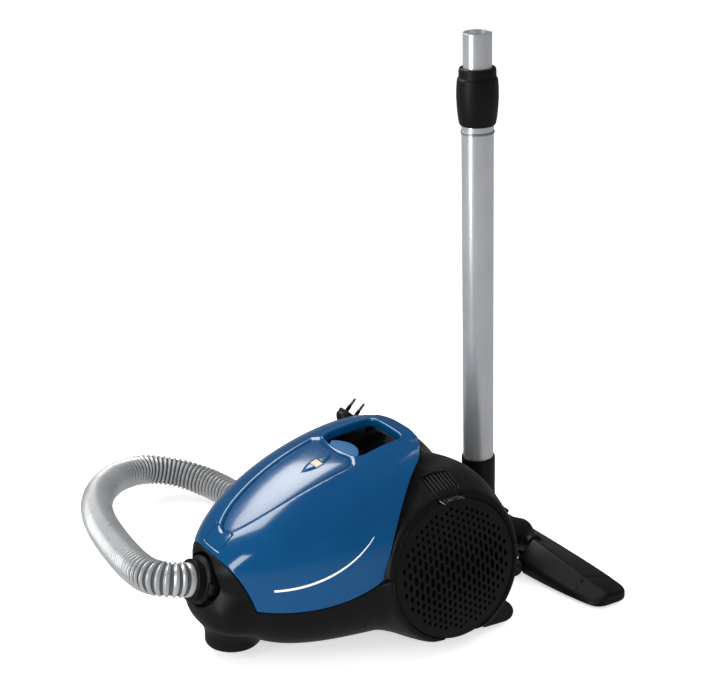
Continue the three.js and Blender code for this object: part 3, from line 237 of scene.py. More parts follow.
def surface(name, field, low, high, step=1.3, coarse=5):
    """The smooth skin of a field inside a box, with its exact normals."""
    low, high = np.asarray(low, float), np.asarray(high, float)
    blocks = np.ceil((high - low) / (step * coarse)).astype(int)
    n = blocks * coarse + 1
    axes = [low[k] + step * coarse * (np.arange(blocks[k]) + 0.5) for k in range(3)]
    centres = np.stack(np.meshgrid(*axes, indexing="ij"), -1).reshape(-1, 3)
    rough = field(centres)
    near = np.abs(rough) < step * coarse * 1.5
    values = np.ones(n, np.float32)
    dense = np.repeat(np.repeat(np.repeat(rough.reshape(blocks), coarse, 0), coarse, 1), coarse, 2)
    values[:-1, :-1, :-1] = np.where(dense < 0, -1, 1)
    mask = np.zeros(n, bool)
    wide = np.repeat(np.repeat(np.repeat(near.reshape(blocks), coarse, 0), coarse, 1), coarse, 2)
    for shift in np.ndindex(2, 2, 2):
        window = tuple(slice(s, s + m - 1) for s, m in zip(shift, n))
        mask[window] |= wide
    index = np.argwhere(mask)
    found = np.empty(len(index), np.float32)
    for start in range(0, len(index), 400000):
        part = slice(start, start + 400000)
        found[part] = field(low + step * index[part])
    values[mask] = found
    inside = values < 0
    count = np.zeros(n - 1, np.int8)
    corners = list(np.ndindex(2, 2, 2))
    for c in corners:
        count += inside[tuple(slice(s, s + m - 1) for s, m in zip(c, n))]
    cells = np.argwhere((count > 0) & (count < 8))
    number = np.full(n - 1, -1, np.int32)
    number[tuple(cells.T)] = np.arange(len(cells))
    at = {c: values[tuple((cells + c).T)] for c in corners}
    total, hits = np.zeros((len(cells), 3)), np.zeros(len(cells))
    for c in corners:
        for k in range(3):
            if c[k]:
                continue
            d = tuple(1 if m == k else c[m] for m in range(3))
            a, b = at[c], at[d]
            cut = (a < 0) != (b < 0)
            t = np.where(cut, a / np.where(cut, a - b, 1), 0)
            point = np.array(c, float)[None, :] + t[:, None] * (np.array(d) - np.array(c))
            total += np.where(cut[:, None], point, 0)
            hits += cut
    verts = low + step * (cells + total / hits[:, None])
    faces = []
    for k in range(3):
        a_axis, b_axis = [(1, 2), (2, 0), (0, 1)][k]
        s0 = tuple(slice(0, m - 1) if q == k else slice(1, m - 1) for q, m in enumerate(n))
        s1 = tuple(slice(1, m) if q == k else slice(1, m - 1) for q, m in enumerate(n))
        first, second = inside[s0], inside[s1]
        for flip, hit in ((False, first & ~second), (True, ~first & second)):
            e = np.argwhere(hit)
            offset = np.ones(3, int)
            offset[k] = 0
            e = e + offset
            da, db = np.zeros(3, int), np.zeros(3, int)
            da[a_axis] = 1
            db[b_axis] = 1
            quad = [number[tuple((e - da - db).T)], number[tuple((e - db).T)],
                    number[tuple(e.T)], number[tuple((e - da).T)]]
            quad = np.stack(quad[::-1] if flip else quad, 1)
            faces.append(quad)
    faces = np.concatenate(faces)
    faces = faces[(faces >= 0).all(axis=1)]
    for _ in range(3):
        g = slope(field, verts)
        size = np.sum(g * g, axis=1)
        move = -(field(verts) / np.maximum(size, 0.05))[:, None] * g
        length = np.linalg.norm(move, axis=1)
        verts = verts + move * np.minimum(1, 0.5 * step / np.maximum(length, 1e-9))[:, None]
    g = slope(field, verts, 0.12)
    normals = g / np.maximum(np.linalg.norm(g, axis=1), 1e-9)[:, None]
    return smooth_object(name, verts, faces, normals=normals)


# ------------------------------------------------------------------ shapes of the machine
NOSE_Y, WIDEST_Y, CROWN_Y = -160.0, 70.0, 75.0
HALF_WIDTH, WAIST_Z, CROWN_RISE, BELLY_DROP = 126.0, 110.0, 112.0, 99.0
DISC = {"x": 130.0, "y": 90.0, "z": 97.0, "r": 79.7, "tilt": math.radians(9.9)}
RIM_R = 83.2
DRUM_R = 96.0
SHOULDER = 8.0
BASE_Z = 19.0
SEAM_Z = 105.0
WALL = 3.0
GAP = 0.3


WAIST_BLEND = 1.5


def scaled(level, eps=0.2):
    """Turns a level function into a distance near its surface, with its two sections blended at the waist."""
    def distance(p, up):
        v = level(p, up)
        total = np.zeros(len(p))
        for k in range(3):
            d = np.zeros(3)
            d[k] = eps
            total += ((level(p + d, up) - v) / eps) ** 2
        return v / np.sqrt(np.maximum(total, 1e-6))

    def field(p):
        up = p[:, 2] >= WAIST_Z
        value = distance(p, up)
        off = np.abs(p[:, 2] - WAIST_Z)
        near = off < WAIST_BLEND
        if near.any():
            share = 0.5 - 0.5 * off[near] / WAIST_BLEND
            value[near] += share * (distance(p[near], ~up[near]) - value[near])
        return value
    return field


def egg_level(p, up):
    """Above the waist the section is full and pointed, below it squarer."""
    x, y, z = np.abs(p[:, 0]), p[:, 1], p[:, 2] - WAIST_Z
    plan = 1 - np.maximum((WIDEST_Y - y) / (WIDEST_Y - NOSE_Y), 0) ** 1.77
    top = 1 - np.maximum((CROWN_Y - y) / (CROWN_Y - NOSE_Y), 0) ** 1.6
    bottom = 1 - np.maximum(y / NOSE_Y, 0) ** 4
    power = np.where(up, 2.44, 3.2)
    root = np.where(up, 1.54, 2.0)
    room = np.where(up, top, bottom)
    rise = np.where(up, CROWN_RISE - np.maximum(0, y - CROWN_Y) ** 2 / 400, BELLY_DROP)
    ratio = np.maximum(room, 1e-4) ** (power / root) / np.maximum(plan, 1e-4) ** (power / 2.08)
    body = ratio * (x / HALF_WIDTH) ** power + (np.abs(z) / rise) ** power
    return body ** (root / power) - room


egg = scaled(egg_level)


def drum_level(p, up):
    """The round rear housing: a drum on the disc's axis."""
    x, dy, dz = np.abs(p[:, 0]), p[:, 1] - DISC["y"], p[:, 2] - DISC["z"]
    lean = math.sin(DISC["tilt"])
    rise = dz / np.maximum(np.hypot(dy, dz), 1e-6)
    s = np.minimum(x / (DISC["x"] - RIM_R * lean * rise), 0.9995)
    r = RIM_R + (DRUM_R - RIM_R) * np.sqrt(1 - s ** 4) + SHOULDER * np.sin(np.pi * s) ** 2
    return np.hypot(dy, dz / (1 - 0.0149 * s)) - r


drum_round = scaled(drum_level)


def disc_axis(side):
    return np.array([side * math.cos(DISC["tilt"]), 0, math.sin(DISC["tilt"])])


def disc_at(side):
    return np.array([side * DISC["x"], DISC["y"], DISC["z"]])


def beyond_disc(p, h=0.0):
    """Distance past the plane of either disc, moved out by h."""
    q = np.abs(p[:, 0:1]) * [1, 0, 0] + p * [0, 1, 1] - disc_at(1)
    return q @ disc_axis(1) - h


def drum(p, inset=0.0, end=0.0):
    return both(both(drum_round(p) + inset, beyond_disc(p, -end), 2.5), BASE_Z + inset - p[:, 2], 5)


def bumper_level(p, up):
    q = np.abs((p - [0, -118, 66]) / [60, 50, 38])
    return np.sum(q ** (2 / 0.85), axis=1) ** 0.425 - 1


bumper = scaled(bumper_level)
INLET_TILT = math.radians(15)
INLET_AXIS = np.array([0, -math.cos(INLET_TILT), math.sin(INLET_TILT)])
INLET_AT = np.array([0, -140.0, 92.0])

lid_edge = Outline(np.vstack([
    [(-210, 130), (-150, 130)],
    bezier((-150, 130), (-134, 108), (-125.5, 76)),
    bezier((-125.5, 76), (-45, 70), (7, 105), count=24),
    bezier((7, 105), (6, 145), (34, 193), (77, 208), count=30),
    bezier((77, 208), (97, 216), (112, 223)),
    [(112, 260), (-210, 260)]]), [1, 2])

hand_edge = Outline(np.vstack([
    [(-24, 17)], bezier((-24, 17), (0, 10), (24, 17)), bezier((24, 17), (36, 18), (36, 31)),
    [(33, 74)], bezier((33, 74), (32, 84), (20, 84)), [(-20, 84)],
    bezier((-20, 84), (-32, 84), (-33, 74)), [(-36, 31)],
    bezier((-36, 31), (-36, 18), (-24, 17))]), [0, 1], step=0.7)

lens_edge = Outline(np.vstack([
    [(0, -128)], bezier((0, -128), (24, -128), (38, -60), (40, 8), count=30), [(30, 13)],
    bezier((30, 13), (0, 4), (-30, 13)), [(-40, 8)],
    bezier((-40, 8), (-38, -60), (-24, -128), (0, -128), count=30)]), [0, 1])

stripe_edge = Outline(np.vstack([
    [(-111, 101.6)], bezier((-111, 101.6), (-50, 106.4), (-6, 153.4), count=24), [(-6, 154.6)],
    bezier((-6, 154.6), (-50, 109.8), (-111, 104.4), count=24)]), [1, 2], step=0.5)


def eye(p, x, y, half, deep):
    """Distance to an eye-shaped outline in plan."""
    q = np.abs(p[:, [1, 0]] - [y, x])
    return (q[:, 1] / deep - (1 - np.minimum(q[:, 0] / half, 1.2) ** 2)) * deep * 0.7


PANEL_SINK = 2.6


def lens_sink(p):
    """How far the lid's skin is pressed in round the inlaid panel."""
    d = lens_edge(p)
    return PANEL_SINK * np.clip(1 - d / 5.5, 0, 1) ** 1.5


def lid_skin(p):
    scoop = np.linalg.norm((p - [0, -158, 152]) / [15, 14, 16], axis=1) * 14 - 14
    return minus(egg(p) + lens_sink(p), scoop, 3)


def lid_field(p):
    """The blue lid: its skin, wall, hand opening and the recess for the panel."""
    skin = lid_skin(p)
    hand = hand_edge(p)
    shell = both(skin, -(skin + WALL), 1.5)
    collar = both(both(skin, -(skin + 11), 2), hand - 3.5, 2)
    bar = both(skin, field_box(p, -42, 42, 84, 107, 201, 245, 3), 2)
    f = either(either(shell, collar, 2), bar, 3)
    f = both(f, lid_edge(p), 2.2)
    f = minus(f, hand, 3)
    f = minus(f, lens_edge(p) - GAP, 1)
    f = minus(f, bumper(p) - GAP, 2)
    f = minus(f, field_rod(p, 30.4, INLET_AT, INLET_AXIS, -4, 60), 1)
    tab = both(both(np.abs(p[:, 0]) - 17.3, p[:, 1] + 127.7, 0.5), 133.7 - p[:, 2], 0.5)
    return minus(f, tab, 0.8)


def panel_field(p):
    """The inlaid panel on the lid's crown."""
    d = -lens_edge(p)
    crown = -0.9 * (1 - np.exp(-np.maximum(d, 0) / 9))
    blister = 1.5 * np.clip(-eye(p, 9, -16, 20, 9) / 3, 0, 1)
    skin = egg(p) + PANEL_SINK - 0.3 + crown - blister
    f = both(both(skin, -(skin + WALL), 1), -d, 1.0)
    window = field_box(p, 1.7, 16.3, -20.8, -11.2, 150, 240, 1.5)
    return minus(minus(f, window, 0.8), hand_edge(p), 1)


def catch_field(p):
    skin = lid_skin(p)
    f = both(skin, -(skin + WALL), 1.2)
    return both(f, field_box(p, -17, 17, -165, -128, 134, 200, 2), 1)


def rear_field(p):
    """The rear housing's shell."""
    round_skin = drum(p)
    shell = both(round_skin, -drum(p, WALL, 24), 1)
    well = field_rod(p, 45, (0, 72, 222), (1, 0, 0), -38, 38, 4)
    skin = both(round_skin, well - WALL, 2)
    f = either(shell, skin, 2)
    f = minus(f, well, 3)
    f = both(f, SEAM_Z + GAP - p[:, 2], 1)
    f = minus(f, both(lid_edge(p) - GAP, egg(p) - GAP, 0.6), 0.8)
    plug_at, plug_axis = np.array([-96, 84, 186.0]), np.array([0, 0.68, 0.733])
    cup = field_rod(p, 19, plug_at, plug_axis, -4, 14)
    f = either(f, both(cup, round_skin - 2, 3), 4)
    f = minus(f, field_rod(p, 16.2, plug_at, plug_axis, 0, 60), 1.5)
    for side in (1, -1):
        f = minus(f, field_rod(p, 80.2, disc_at(side), disc_axis(side), -9, 30), 1.2)
        lug = field_rod(p, 5.5, (0, 92, 206), (side, 0, 0), 43.5, 49.5)
        post = field_box(p, 43.5 if side > 0 else -49.5, 49.5 if side > 0 else -43.5,
                         86.5, 97.5, 185, 206, 1)
        f = either(f, either(lug, post, 1), 2)
    ribs = field_box(p, 83.7, 108.3, 71.7, 106.3, 150, 230, 3)
    f = minus(f, both(ribs, -(round_skin + 5), 1), 1.5)
    return minus(f, field_box(p, 108, 150, 73.7, 104.3, 157, 230, 1), 1)


def lobe(p, side):
    reach = np.abs(p[:, 0] * side - 112) - 14
    return both(lobe_edge(p), reach, 5)


lobe_edge = Outline(np.vstack([
    [(100, 52), (112, 24), (136, 4.5), (166, 3.2)], bezier((166, 3.2), (178, 4), (178, 15)),
    bezier((178, 15), (176, 24), (166, 30)), [(150, 60)]]), [1, 2])


def belly(p, inset=0.0):
    """The egg, ended inside the drum."""
    return both(egg(p) + inset, p[:, 1] - 126 + inset, 8)


def lower_field(p):
    """The lower housing with its bumper."""
    round_skin = drum(p)
    out = either(belly(p), bumper(p), 7)
    skirt = field_rod(p, 31, (0, -122, 0), (0, 0, 1), 11, 45, 4)
    out = either(out, skirt, 10)
    out = either(out, round_skin, 10)
    for side in (1, -1):
        out = either(out, lobe(p, side), 9)
    out = either(out, field_box(p, -13, 13, 178, 196.1, 64, 87, 3), 3)
    hollow = either(belly(p, WALL), both(bumper(p) + WALL, -148 - p[:, 1], 1), 1)
    hollow = minus(hollow, field_rod(p, 31, (0, -122, 0), (0, 0, 1), 0, 39), 1)
    hollow = minus(hollow, round_skin, 1)
    hollow = either(hollow, drum(p, WALL, 24), 1)
    f = minus(out, hollow, 1)
    f = both(f, np.minimum(np.maximum(p[:, 2] - SEAM_Z, -1e3),
                           np.maximum(p[:, 1] - 0.5, p[:, 2] - 140)), 0.8)
    f = minus(f, lid_edge(p) - GAP, 1)
    f = minus(f, field_rod(p, 21.3, INLET_AT, INLET_AXIS, -60, 60), 1)
    f = minus(f, field_rod(p, 30, INLET_AT, INLET_AXIS, 11, 60), 2)
    f = minus(f, field_rod(p, 27, (0, -122, 0), (0, 0, 1), -10, 36), 1.5)
    for side in (1, -1):
        f = minus(f, field_rod(p, 80.2, disc_at(side), disc_axis(side), -9, 30), 1.2)
        f = minus(f, field_rod(p, 16, (side * 112, 158, 14), (1, 0, 0), -9.5, 9.5), 1)
        f = minus(f, field_box(p, side * 112 - 9.5, side * 112 + 9.5, 146, 170, -5, 14, 1), 1)
    return minus(f, field_box(p, -10, 10, 189.1, 194.5, 69, 96, 0.5), 0.5)


# ------------------------------------------------------------------ side grilles
COLUMN_PITCH = 6.8
PLACES = np.linspace(-90, 90, 721)


def row_pitch(v):
    return 8 + 6.2 * np.exp(-(v / 28) ** 2)


ROWS = np.cumsum((PLACES[1] - PLACES[0]) / row_pitch(PLACES))
ROWS -= np.interp(0, PLACES, ROWS)


def grille_field(side):
    """Perforated disc: round holes at the top and bottom, upright ovals between."""
    axis, centre = disc_axis(side), disc_at(side)
    across = np.array([0, 1.0, 0])
    upward = np.cross(axis, across) * side

    def field(p):
        d = p - centre
        h, u, v = d @ axis, d @ across, d @ upward
        r = np.hypot(u, v)
        crown = 3.4 - 0.00078 * r ** 2
        dish = both(both(h - crown, crown - 3 - h, 1), r - 79.7, 2.6)
        lip = both(both(r - 79.7, 76.7 - r, 0.6), both(h + 1.6, -8.7 - h, 0.6), 0.6)
        column = np.round(u / COLUMN_PITCH)
        shift = 0.5 * (column % 2)
        row = np.round(np.interp(v, PLACES, ROWS) - shift) + shift
        row_v = np.interp(row, ROWS, PLACES)
        row_r = np.hypot(column * COLUMN_PITCH, row_v)
        grow = np.exp(-(row_v / 31) ** 2) * np.sqrt(np.clip((72 - row_r) / 24, 0, 1))
        wide, tall = 1.75 + 0.8 * grow, 1.8 + 3.9 * grow
        oval = (np.hypot((u - column * COLUMN_PITCH) / wide, (v - row_v) / tall) - 1) * wide
        return minus(either(dish, lip, 1), np.where(row_r < 69.5, oval, 3.0), 0.7)
    return field


# ------------------------------------------------------------------ small shell pieces
def ribs_field(p):
    """The grip ribs on the drum."""
    skin = drum_round(p)
    room = field_box(p, 84, 108, 72, 106, 150, 230, 1)
    pitch = 34 / 7
    wave = np.abs((p[:, 1] - 72) / pitch - np.floor((p[:, 1] - 72) / pitch) - 0.5) * pitch
    ridge = both(wave - pitch / 4, both(skin + 0.8, -5.5 - skin, 0.8), 0.8)
    floor = both(skin + 4, -7 - skin, 0.5)
    return both(either(ridge, floor, 0.6), room, 0.8)


def latch_field(p):
    skin = drum_round(p)
    room = field_box(p, 108.6, 140, 74, 104, 157, 230, 1)
    band = both(both(skin + 0.6, -9 - skin, 1.2), room, 1.2)
    lip = field_rod(p, 3.5, (124, 89, 182), (0, 1, 0), -9, 9, 1)
    return minus(minus(band, lip, 1.5), field_rod(p, 80.7, disc_at(1), disc_axis(1), -30, 30), 0.8)


def button_field(p):
    q = p[:, :2] - [0, 26]
    lens = (np.abs(q[:, 1]) / 14 - (1 - np.minimum(np.abs(q[:, 0]) / 27.5, 1.15) ** 2)) * 11.5
    dome = p[:, 2] - (211 - 0.0035 * q[:, 0] ** 2 - 0.008 * q[:, 1] ** 2)
    return both(both(dome, 203 - p[:, 2], 1), lens, 2.2)


def indicator_field(p):
    skin = egg(p) + PANEL_SINK - 1.7
    return both(both(skin, -(skin + 3.2), 0.6), field_box(p, 2, 16, -20.5, -11.5, 150, 240, 1.2), 0.8)


def stripe_field(side):
    def field(p):
        skin = egg(p) - 0.5
        band = both(both(skin, -(skin + 1.2), 0.5), stripe_edge(p), 0.7)
        return both(band, 40 - side * p[:, 0], 0.5)
    return field


def nozzle_field(p):
    """The floor nozzle's body."""
    share = np.minimum(np.abs(p[:, 0]) / 160, 1.05)
    front = 328 - 6 * share ** 4
    rear = 254 + 20 * share ** 2
    top = 41 - 22.5 * share ** 1.4
    ridge = rear + 0.34 * (front - rear)
    ahead = top - (p[:, 1] - ridge) * (top - 15) / np.maximum(front - ridge, 1)
    behind = top - (ridge - p[:, 1]) * 0.85
    roof = both(p[:, 2] - ahead, p[:, 2] - behind, 3.5) * 0.88
    sides = both(both(rear - p[:, 1], p[:, 1] - front, 1), np.abs(p[:, 0]) - 159.6, 16)
    f = both(both(roof, sides, 5), 3.1 - p[:, 2], 2)
    seam = np.abs(np.abs(p[:, 0]) - 122) - 0.5
    f = minus(f, both(seam, -(f + 0.8), 0.3), 0.4)
    f = minus(f, field_rod(p, 13.7, (0, 284, 27), (1, 0, 0), -31, 31), 1)
    f = minus(f, field_box(p, -30.6, 30.6, 230, 284, 12, 60, 1), 1)
    f = minus(f, field_box(p, -22.2, 22.2, 230, 277, -5, 20, 1), 1)
    f = minus(f, field_box(p, -126, 126, 287, 301, -5, 13, 1), 0.6)
    f = minus(f, field_box(p, -84.5, -49.5, 275.5, 306.5, 27, 60, 1), 1)
    for side in (1, -1):
        f = minus(f, field_rod(p, 11.5, (side * 36, 248, 10), (1, 0, 0), -5.8, 5.8), 0.8)
    for y in (312, 279):
        f = minus(f, field_box(p, -100.5, 100.5, y - 2.2, y + 2.2, 0, 14), 0.3)
    return f


def pedal_field(p):
    return both(field_box(p, -84, -50, 276, 306, 31.8, 39.2, 2.2),
                p[:, 2] - 38.6 + 0.012 * (p[:, 1] - 291) ** 2 / 2, 1)


WAND_LEAN_SINE = 0.03577


def elbow_field(p):
    """The neck between the nozzle and the wand's socket."""
    top = np.array([0, 221 - WAND_LEAN_SINE * 98.7, 98.6])
    knee = np.array([0, 221 - WAND_LEAN_SINE * 58, 58.0])
    foot = np.array([0, 281, 32.0])
    best = np.full(len(p), 1e9)
    for t in np.linspace(0, 1, 25):
        c = (1 - t) ** 2 * top + 2 * t * (1 - t) * knee + t * t * foot
        best = np.minimum(best, np.linalg.norm(p - c, axis=1) - (18.4 + 1.5 * max(0, t - 0.5)))
    neck = both(best, (p - top) @ [0, -0.0358, 0.99936], 1.2)
    hub = field_rod(p, 13, (0, 284, 27), (1, 0, 0), -30, 30, 3)
    neck = either(neck, hub, 6)
    seam = np.abs((p - (top + knee) / 2 - [0, 12, -22]) @ [0, 0.75, -0.66]) - 0.55
    neck = minus(neck, both(seam, -(neck + 0.9), 0.3), 0.4)
    hook = field_box(p, -9, 9, 189.9, 205, 90, 96, 1.2)
    tongue = field_box(p, -9, 9, 189.9, 193.7, 70, 96, 1.2)
    f = either(neck, either(hook, tongue, 1.5), 2)
    return minus(f, field_rod(p, 2.7, (0, 284, 27), (1, 0, 0), -31, 31), 0.4)


# ------------------------------------------------------------------ hose and handle
HOSE_ROUTE = [
    (0, -174.2, 101.2), (0, -180.5, 102.9), (-4, -194, 105.2), (-14.5, -204.3, 105.6),
    (-31, -208.6, 103.5), (-60, -207.3, 99), (-100, -201, 92), (-160, -190, 84), (-232, -172, 74),
    (-292, -149, 66), (-347, -114, 57), (-385, -72, 49), (-400, -30, 41), (-388, 8, 32),
    (-357, 34, 25), (-312, 48, 21), (-262, 51, 20), (-212, 62, 20), (-180, 100, 20),
    (-173, 150, 20), (-175, 205, 20), (-196, 253, 20), (-240, 281, 20), (-288, 275, 20),
    (-317, 245, 20), (-322, 220, 20)]
HOSE_R = 19.5
RIDGE_PITCH = 6.6
RIDGE_DEPTH = 2.6


def smooth_route(points, steps=24):
    """A centripetal curve through the points."""
    pts = [np.array(p, float) for p in points]
    pts = [2 * pts[0] - pts[1]] + pts + [2 * pts[-1] - pts[-2]]
    out = []
    for i in range(len(pts) - 3):
        p0, p1, p2, p3 = pts[i:i + 4]
        d0, d1, d2 = (max(np.linalg.norm(b - a), 1e-4) ** 0.5 for a, b in ((p0, p1), (p1, p2), (p2, p3)))
        t1 = (p1 - p0) / d0 - (p2 - p0) / (d0 + d1) + (p2 - p1) / d1
        t2 = (p2 - p1) / d1 - (p3 - p1) / (d1 + d2) + (p3 - p2) / d2
        t1, t2 = t1 * d1, t2 * d1
        for t in np.arange(steps) / steps:
            out.append((2 * t ** 3 - 3 * t * t + 1) * p1 + (t ** 3 - 2 * t * t + t) * t1
                       + (-2 * t ** 3 + 3 * t * t) * p2 + (t ** 3 - t * t) * t2)
    out.append(pts[-2])
    return np.array(out)


def evenly(path, step):
    """The path's points again, at equal distances."""
    run = np.r_[0, np.cumsum(np.linalg.norm(np.diff(path, axis=0), axis=1))]
    at = np.linspace(0, run[-1], max(2, int(round(run[-1] / step)) + 1))
    return np.stack([np.interp(at, run, path[:, k]) for k in range(3)], 1), at


def swept(name, path, radii, sides=48, sharp=None, caps=True):
    """A tube of changing radius along a path."""
    ahead = np.gradient(path, axis=0)
    ahead /= np.linalg.norm(ahead, axis=1)[:, None]
    side = np.cross(ahead[0], (0, 0, 1))
    side /= np.linalg.norm(side)
    points = []
    for c, d, r in zip(path, ahead, radii):
        side = side - (side @ d) * d
        side /= np.linalg.norm(side)
        other = np.cross(d, side)
        a = np.linspace(0, 2 * np.pi, sides, endpoint=False)[:, None]
        points.append(c + r * (np.cos(a) * side + np.sin(a) * other))
    faces = []
    for k in range(len(path) - 1):
        for i in range(sides):
            j = (i + 1) % sides
            faces.append([k * sides + i, k * sides + j, (k + 1) * sides + j, (k + 1) * sides + i])
    if caps:
        faces.append(list(range(sides))[::-1])
        faces.append([(len(path) - 1) * sides + i for i in range(sides)])
    return smooth_object(name, np.concatenate(points), faces, sharp=sharp)


def hose():
    """The corrugated hose, swept along its route."""
    line, at = evenly(smooth_route(HOSE_ROUTE), RIDGE_PITCH / 10)
    phase = at / RIDGE_PITCH
    wave = 0.5 - 0.5 * np.cos(2 * np.pi * phase)
    radii = HOSE_R - RIDGE_DEPTH * (1 - wave ** 1.6)
    radii = np.where((at < 4) | (at > at[-1] - 4), HOSE_R - 0.5, radii)
    return swept("corrugated_hose", line, radii, sides=56), line


def grip_route():
    """The handle's centre line, carried on from the hose's end."""
    end, before = np.array(HOSE_ROUTE[-1], float), np.array(HOSE_ROUTE[-2], float)
    line = smooth_route(HOSE_ROUTE)
    heading = line[-1] - line[-2]
    heading[2] = 0
    heading /= np.linalg.norm(heading)
    side = np.array([-heading[1], heading[0], 0])
    bend, angle, straight, lead = 60, math.radians(62), 74, 24
    start = end + heading * GAP
    start[2] = before[2]
    bend_start = start + heading * lead
    knee = bend_start + heading * bend * math.tan(angle / 2)

    def at(a, ahead=0.0):
        return (bend_start + heading * (bend * math.sin(a) + ahead * math.cos(a))
                + side * (bend * (1 - math.cos(a)) + ahead * math.sin(a)))
    path = [start + heading * s for s in np.linspace(0, lead, 6)[:-1]]
    for t in np.linspace(0, 1, 24)[:-1]:
        path.append((1 - t) ** 2 * bend_start + 2 * t * (1 - t) * knee + t * t * at(angle))
    path += [at(angle, s) for s in np.linspace(0, straight, 16)]
    return np.array(path)


def handle():
    """The hose's bent handle."""
    path, at = evenly(grip_route(), 1.0)
    last = at[-1]
    radii = np.full(len(at), 17.5)
    radii = np.where(at < 20, 19.9, radii)
    radii = np.where((at >= 20) & (at < 26), 19.9 - 2.4 * (at - 20) / 6, radii)
    radii -= 0.5 * (1 - np.cos(np.clip(at - 40, 0, 30) / 30 * 2 * np.pi)) / 2
    radii -= 0.9 * np.clip((at - last + 46) / 46, 0, 1)
    radii = np.where((at < 1.2) | (at > last - 1.2), radii - 0.8, radii)
    return swept("hose_end_handle", path, radii, sides=48, sharp=40), path


# ------------------------------------------------------------------ shader groups
def shader_group(name, inputs, outputs):
    """An empty node group with named number inputs and named outputs."""
    tree = bpy.data.node_groups.new(name, "ShaderNodeTree")
    for label, value in inputs:
        socket = tree.interface.new_socket(label, in_out="INPUT", socket_type="NodeSocketFloat")
        socket.default_value = value
    for label in outputs:
        tree.interface.new_socket(label, in_out="OUTPUT", socket_type="NodeSocketFloat")
    return tree, tree.nodes.new("NodeGroupInput"), tree.nodes.new("NodeGroupOutput")


def place(tree, kind, **values):
    node = tree.nodes.new(kind)
    for label, value in values.items():
        setattr(node, label, value)
    return node


def maths(tree, operation, a, b=None, clamp=False):
    """One Math node; a and b are sockets or numbers."""
    node = place(tree, "ShaderNodeMath", operation=operation, use_clamp=clamp)
    for k, value in enumerate((a, b)):
        if value is None:
            continue
        if isinstance(value, (int, float)):
            node.inputs[k].default_value = value
        else:
            tree.links.new(value, node.inputs[k])
    return node.outputs[0]


def noise(tree, scale, detail=2.0, stretch=None, rough=0.5):
    """Noise in the object's own metres; stretch multiplies each axis."""
    where = place(tree, "ShaderNodeTexCoord").outputs["Object"]
    if stretch is not None:
        mapping = place(tree, "ShaderNodeMapping")
        mapping.inputs["Scale"].default_value = stretch
        tree.links.new(where, mapping.inputs["Vector"])
        where = mapping.outputs["Vector"]
    node = place(tree, "ShaderNodeTexNoise")
    node.inputs["Detail"].default_value = detail
    node.inputs["Roughness"].default_value = rough
    tree.links.new(where, node.inputs["Vector"])
    if isinstance(scale, (int, float)):
        node.inputs["Scale"].default_value = scale
    else:
        tree.links.new(scale, node.inputs["Scale"])
    return node.outputs["Fac"]


def spread(tree, value, low, high, to_low=0.0, to_high=1.0):
    node = place(tree, "ShaderNodeMapRange", clamp=True)
    tree.links.new(value, node.inputs["Value"])
    for label, number in (("From Min", low), ("From Max", high), ("To Min", to_low), ("To Max", to_high)):
        node.inputs[label].default_value = number
    return node.outputs["Result"]


def make_moulding_grain():
    """Spark-eroded mould grain, the slow cloudiness of the plastic, and rubbed patches."""
    tree, source, sink = shader_group("moulding grain", [("Grain Scale", 1400), ("Cloud Scale", 18)],
                                      ["Height", "Cloud", "Rub"])
    grain = noise(tree, source.outputs["Grain Scale"], 3, rough=0.6)
    tree.links.new(grain, sink.inputs["Height"])
    tree.links.new(spread(tree, noise(tree, source.outputs["Cloud Scale"], 4), 0.3, 0.7),
                   sink.inputs["Cloud"])
    rub = spread(tree, noise(tree, 55, 6, rough=0.7), 0.52, 0.72)
    tree.links.new(rub, sink.inputs["Rub"])
    return tree


def make_hair_scratches():
    """Fine crossing scratches left by wiping."""
    tree, source, sink = shader_group("hair scratches", [("Length", 40)], ["Scratches", "Haze"])
    first = noise(tree, source.outputs["Length"], 2, (1, 22, 3))
    second = noise(tree, source.outputs["Length"], 2, (20, 2, 5))
    lines = maths(tree, "MAXIMUM", spread(tree, first, 0.66, 0.70), spread(tree, second, 0.67, 0.71))
    tree.links.new(lines, sink.inputs["Scratches"])
    tree.links.new(spread(tree, noise(tree, 9, 3), 0.35, 0.68), sink.inputs["Haze"])
    return tree


def make_settled_dust():
    """Dust on faces that look up, broken into patches."""
    tree, source, sink = shader_group("settled dust", [("Amount", 0.3)], ["Dust"])
    up = place(tree, "ShaderNodeSeparateXYZ")
    tree.links.new(place(tree, "ShaderNodeNewGeometry").outputs["Normal"], up.inputs["Vector"])
    flat = spread(tree, up.outputs["Z"], 0.45, 1.0)
    patches = spread(tree, noise(tree, 60, 6, rough=0.65), 0.35, 0.75)
    specks = spread(tree, noise(tree, 900, 1), 0.62, 0.7)
    dust = maths(tree, "MULTIPLY", flat, maths(tree, "ADD", patches, specks, True), True)
    tree.links.new(maths(tree, "MULTIPLY", dust, source.outputs["Amount"], True), sink.inputs["Dust"])
    return tree


def make_drawn_metal():
    """Draw marks along a tube, with cloudy tarnish."""
    tree, source, sink = shader_group("drawn metal", [("Fineness", 260)], ["Lines", "Tarnish"])
    tree.links.new(noise(tree, source.outputs["Fineness"], 3, (1, 1, 0.02), 0.6), sink.inputs["Lines"])
    tree.links.new(spread(tree, noise(tree, 14, 4), 0.35, 0.75), sink.inputs["Tarnish"])
    return tree


GRAIN = make_moulding_grain()
SCRATCHES = make_hair_scratches()
DUST = make_settled_dust()
DRAWN = make_drawn_metal()


# ------------------------------------------------------------------ materials
def blank(name, **values):
    """A material with its shader; values are set on the shader's own sockets."""
    material = bpy.data.materials.new(name)
    material.use_nodes = True
    tree = material.node_tree
    shader = tree.nodes["Principled BSDF"]
    for label, value in values.items():
        shader.inputs[label.replace("_", " ")].default_value = value
    return material, tree, shader


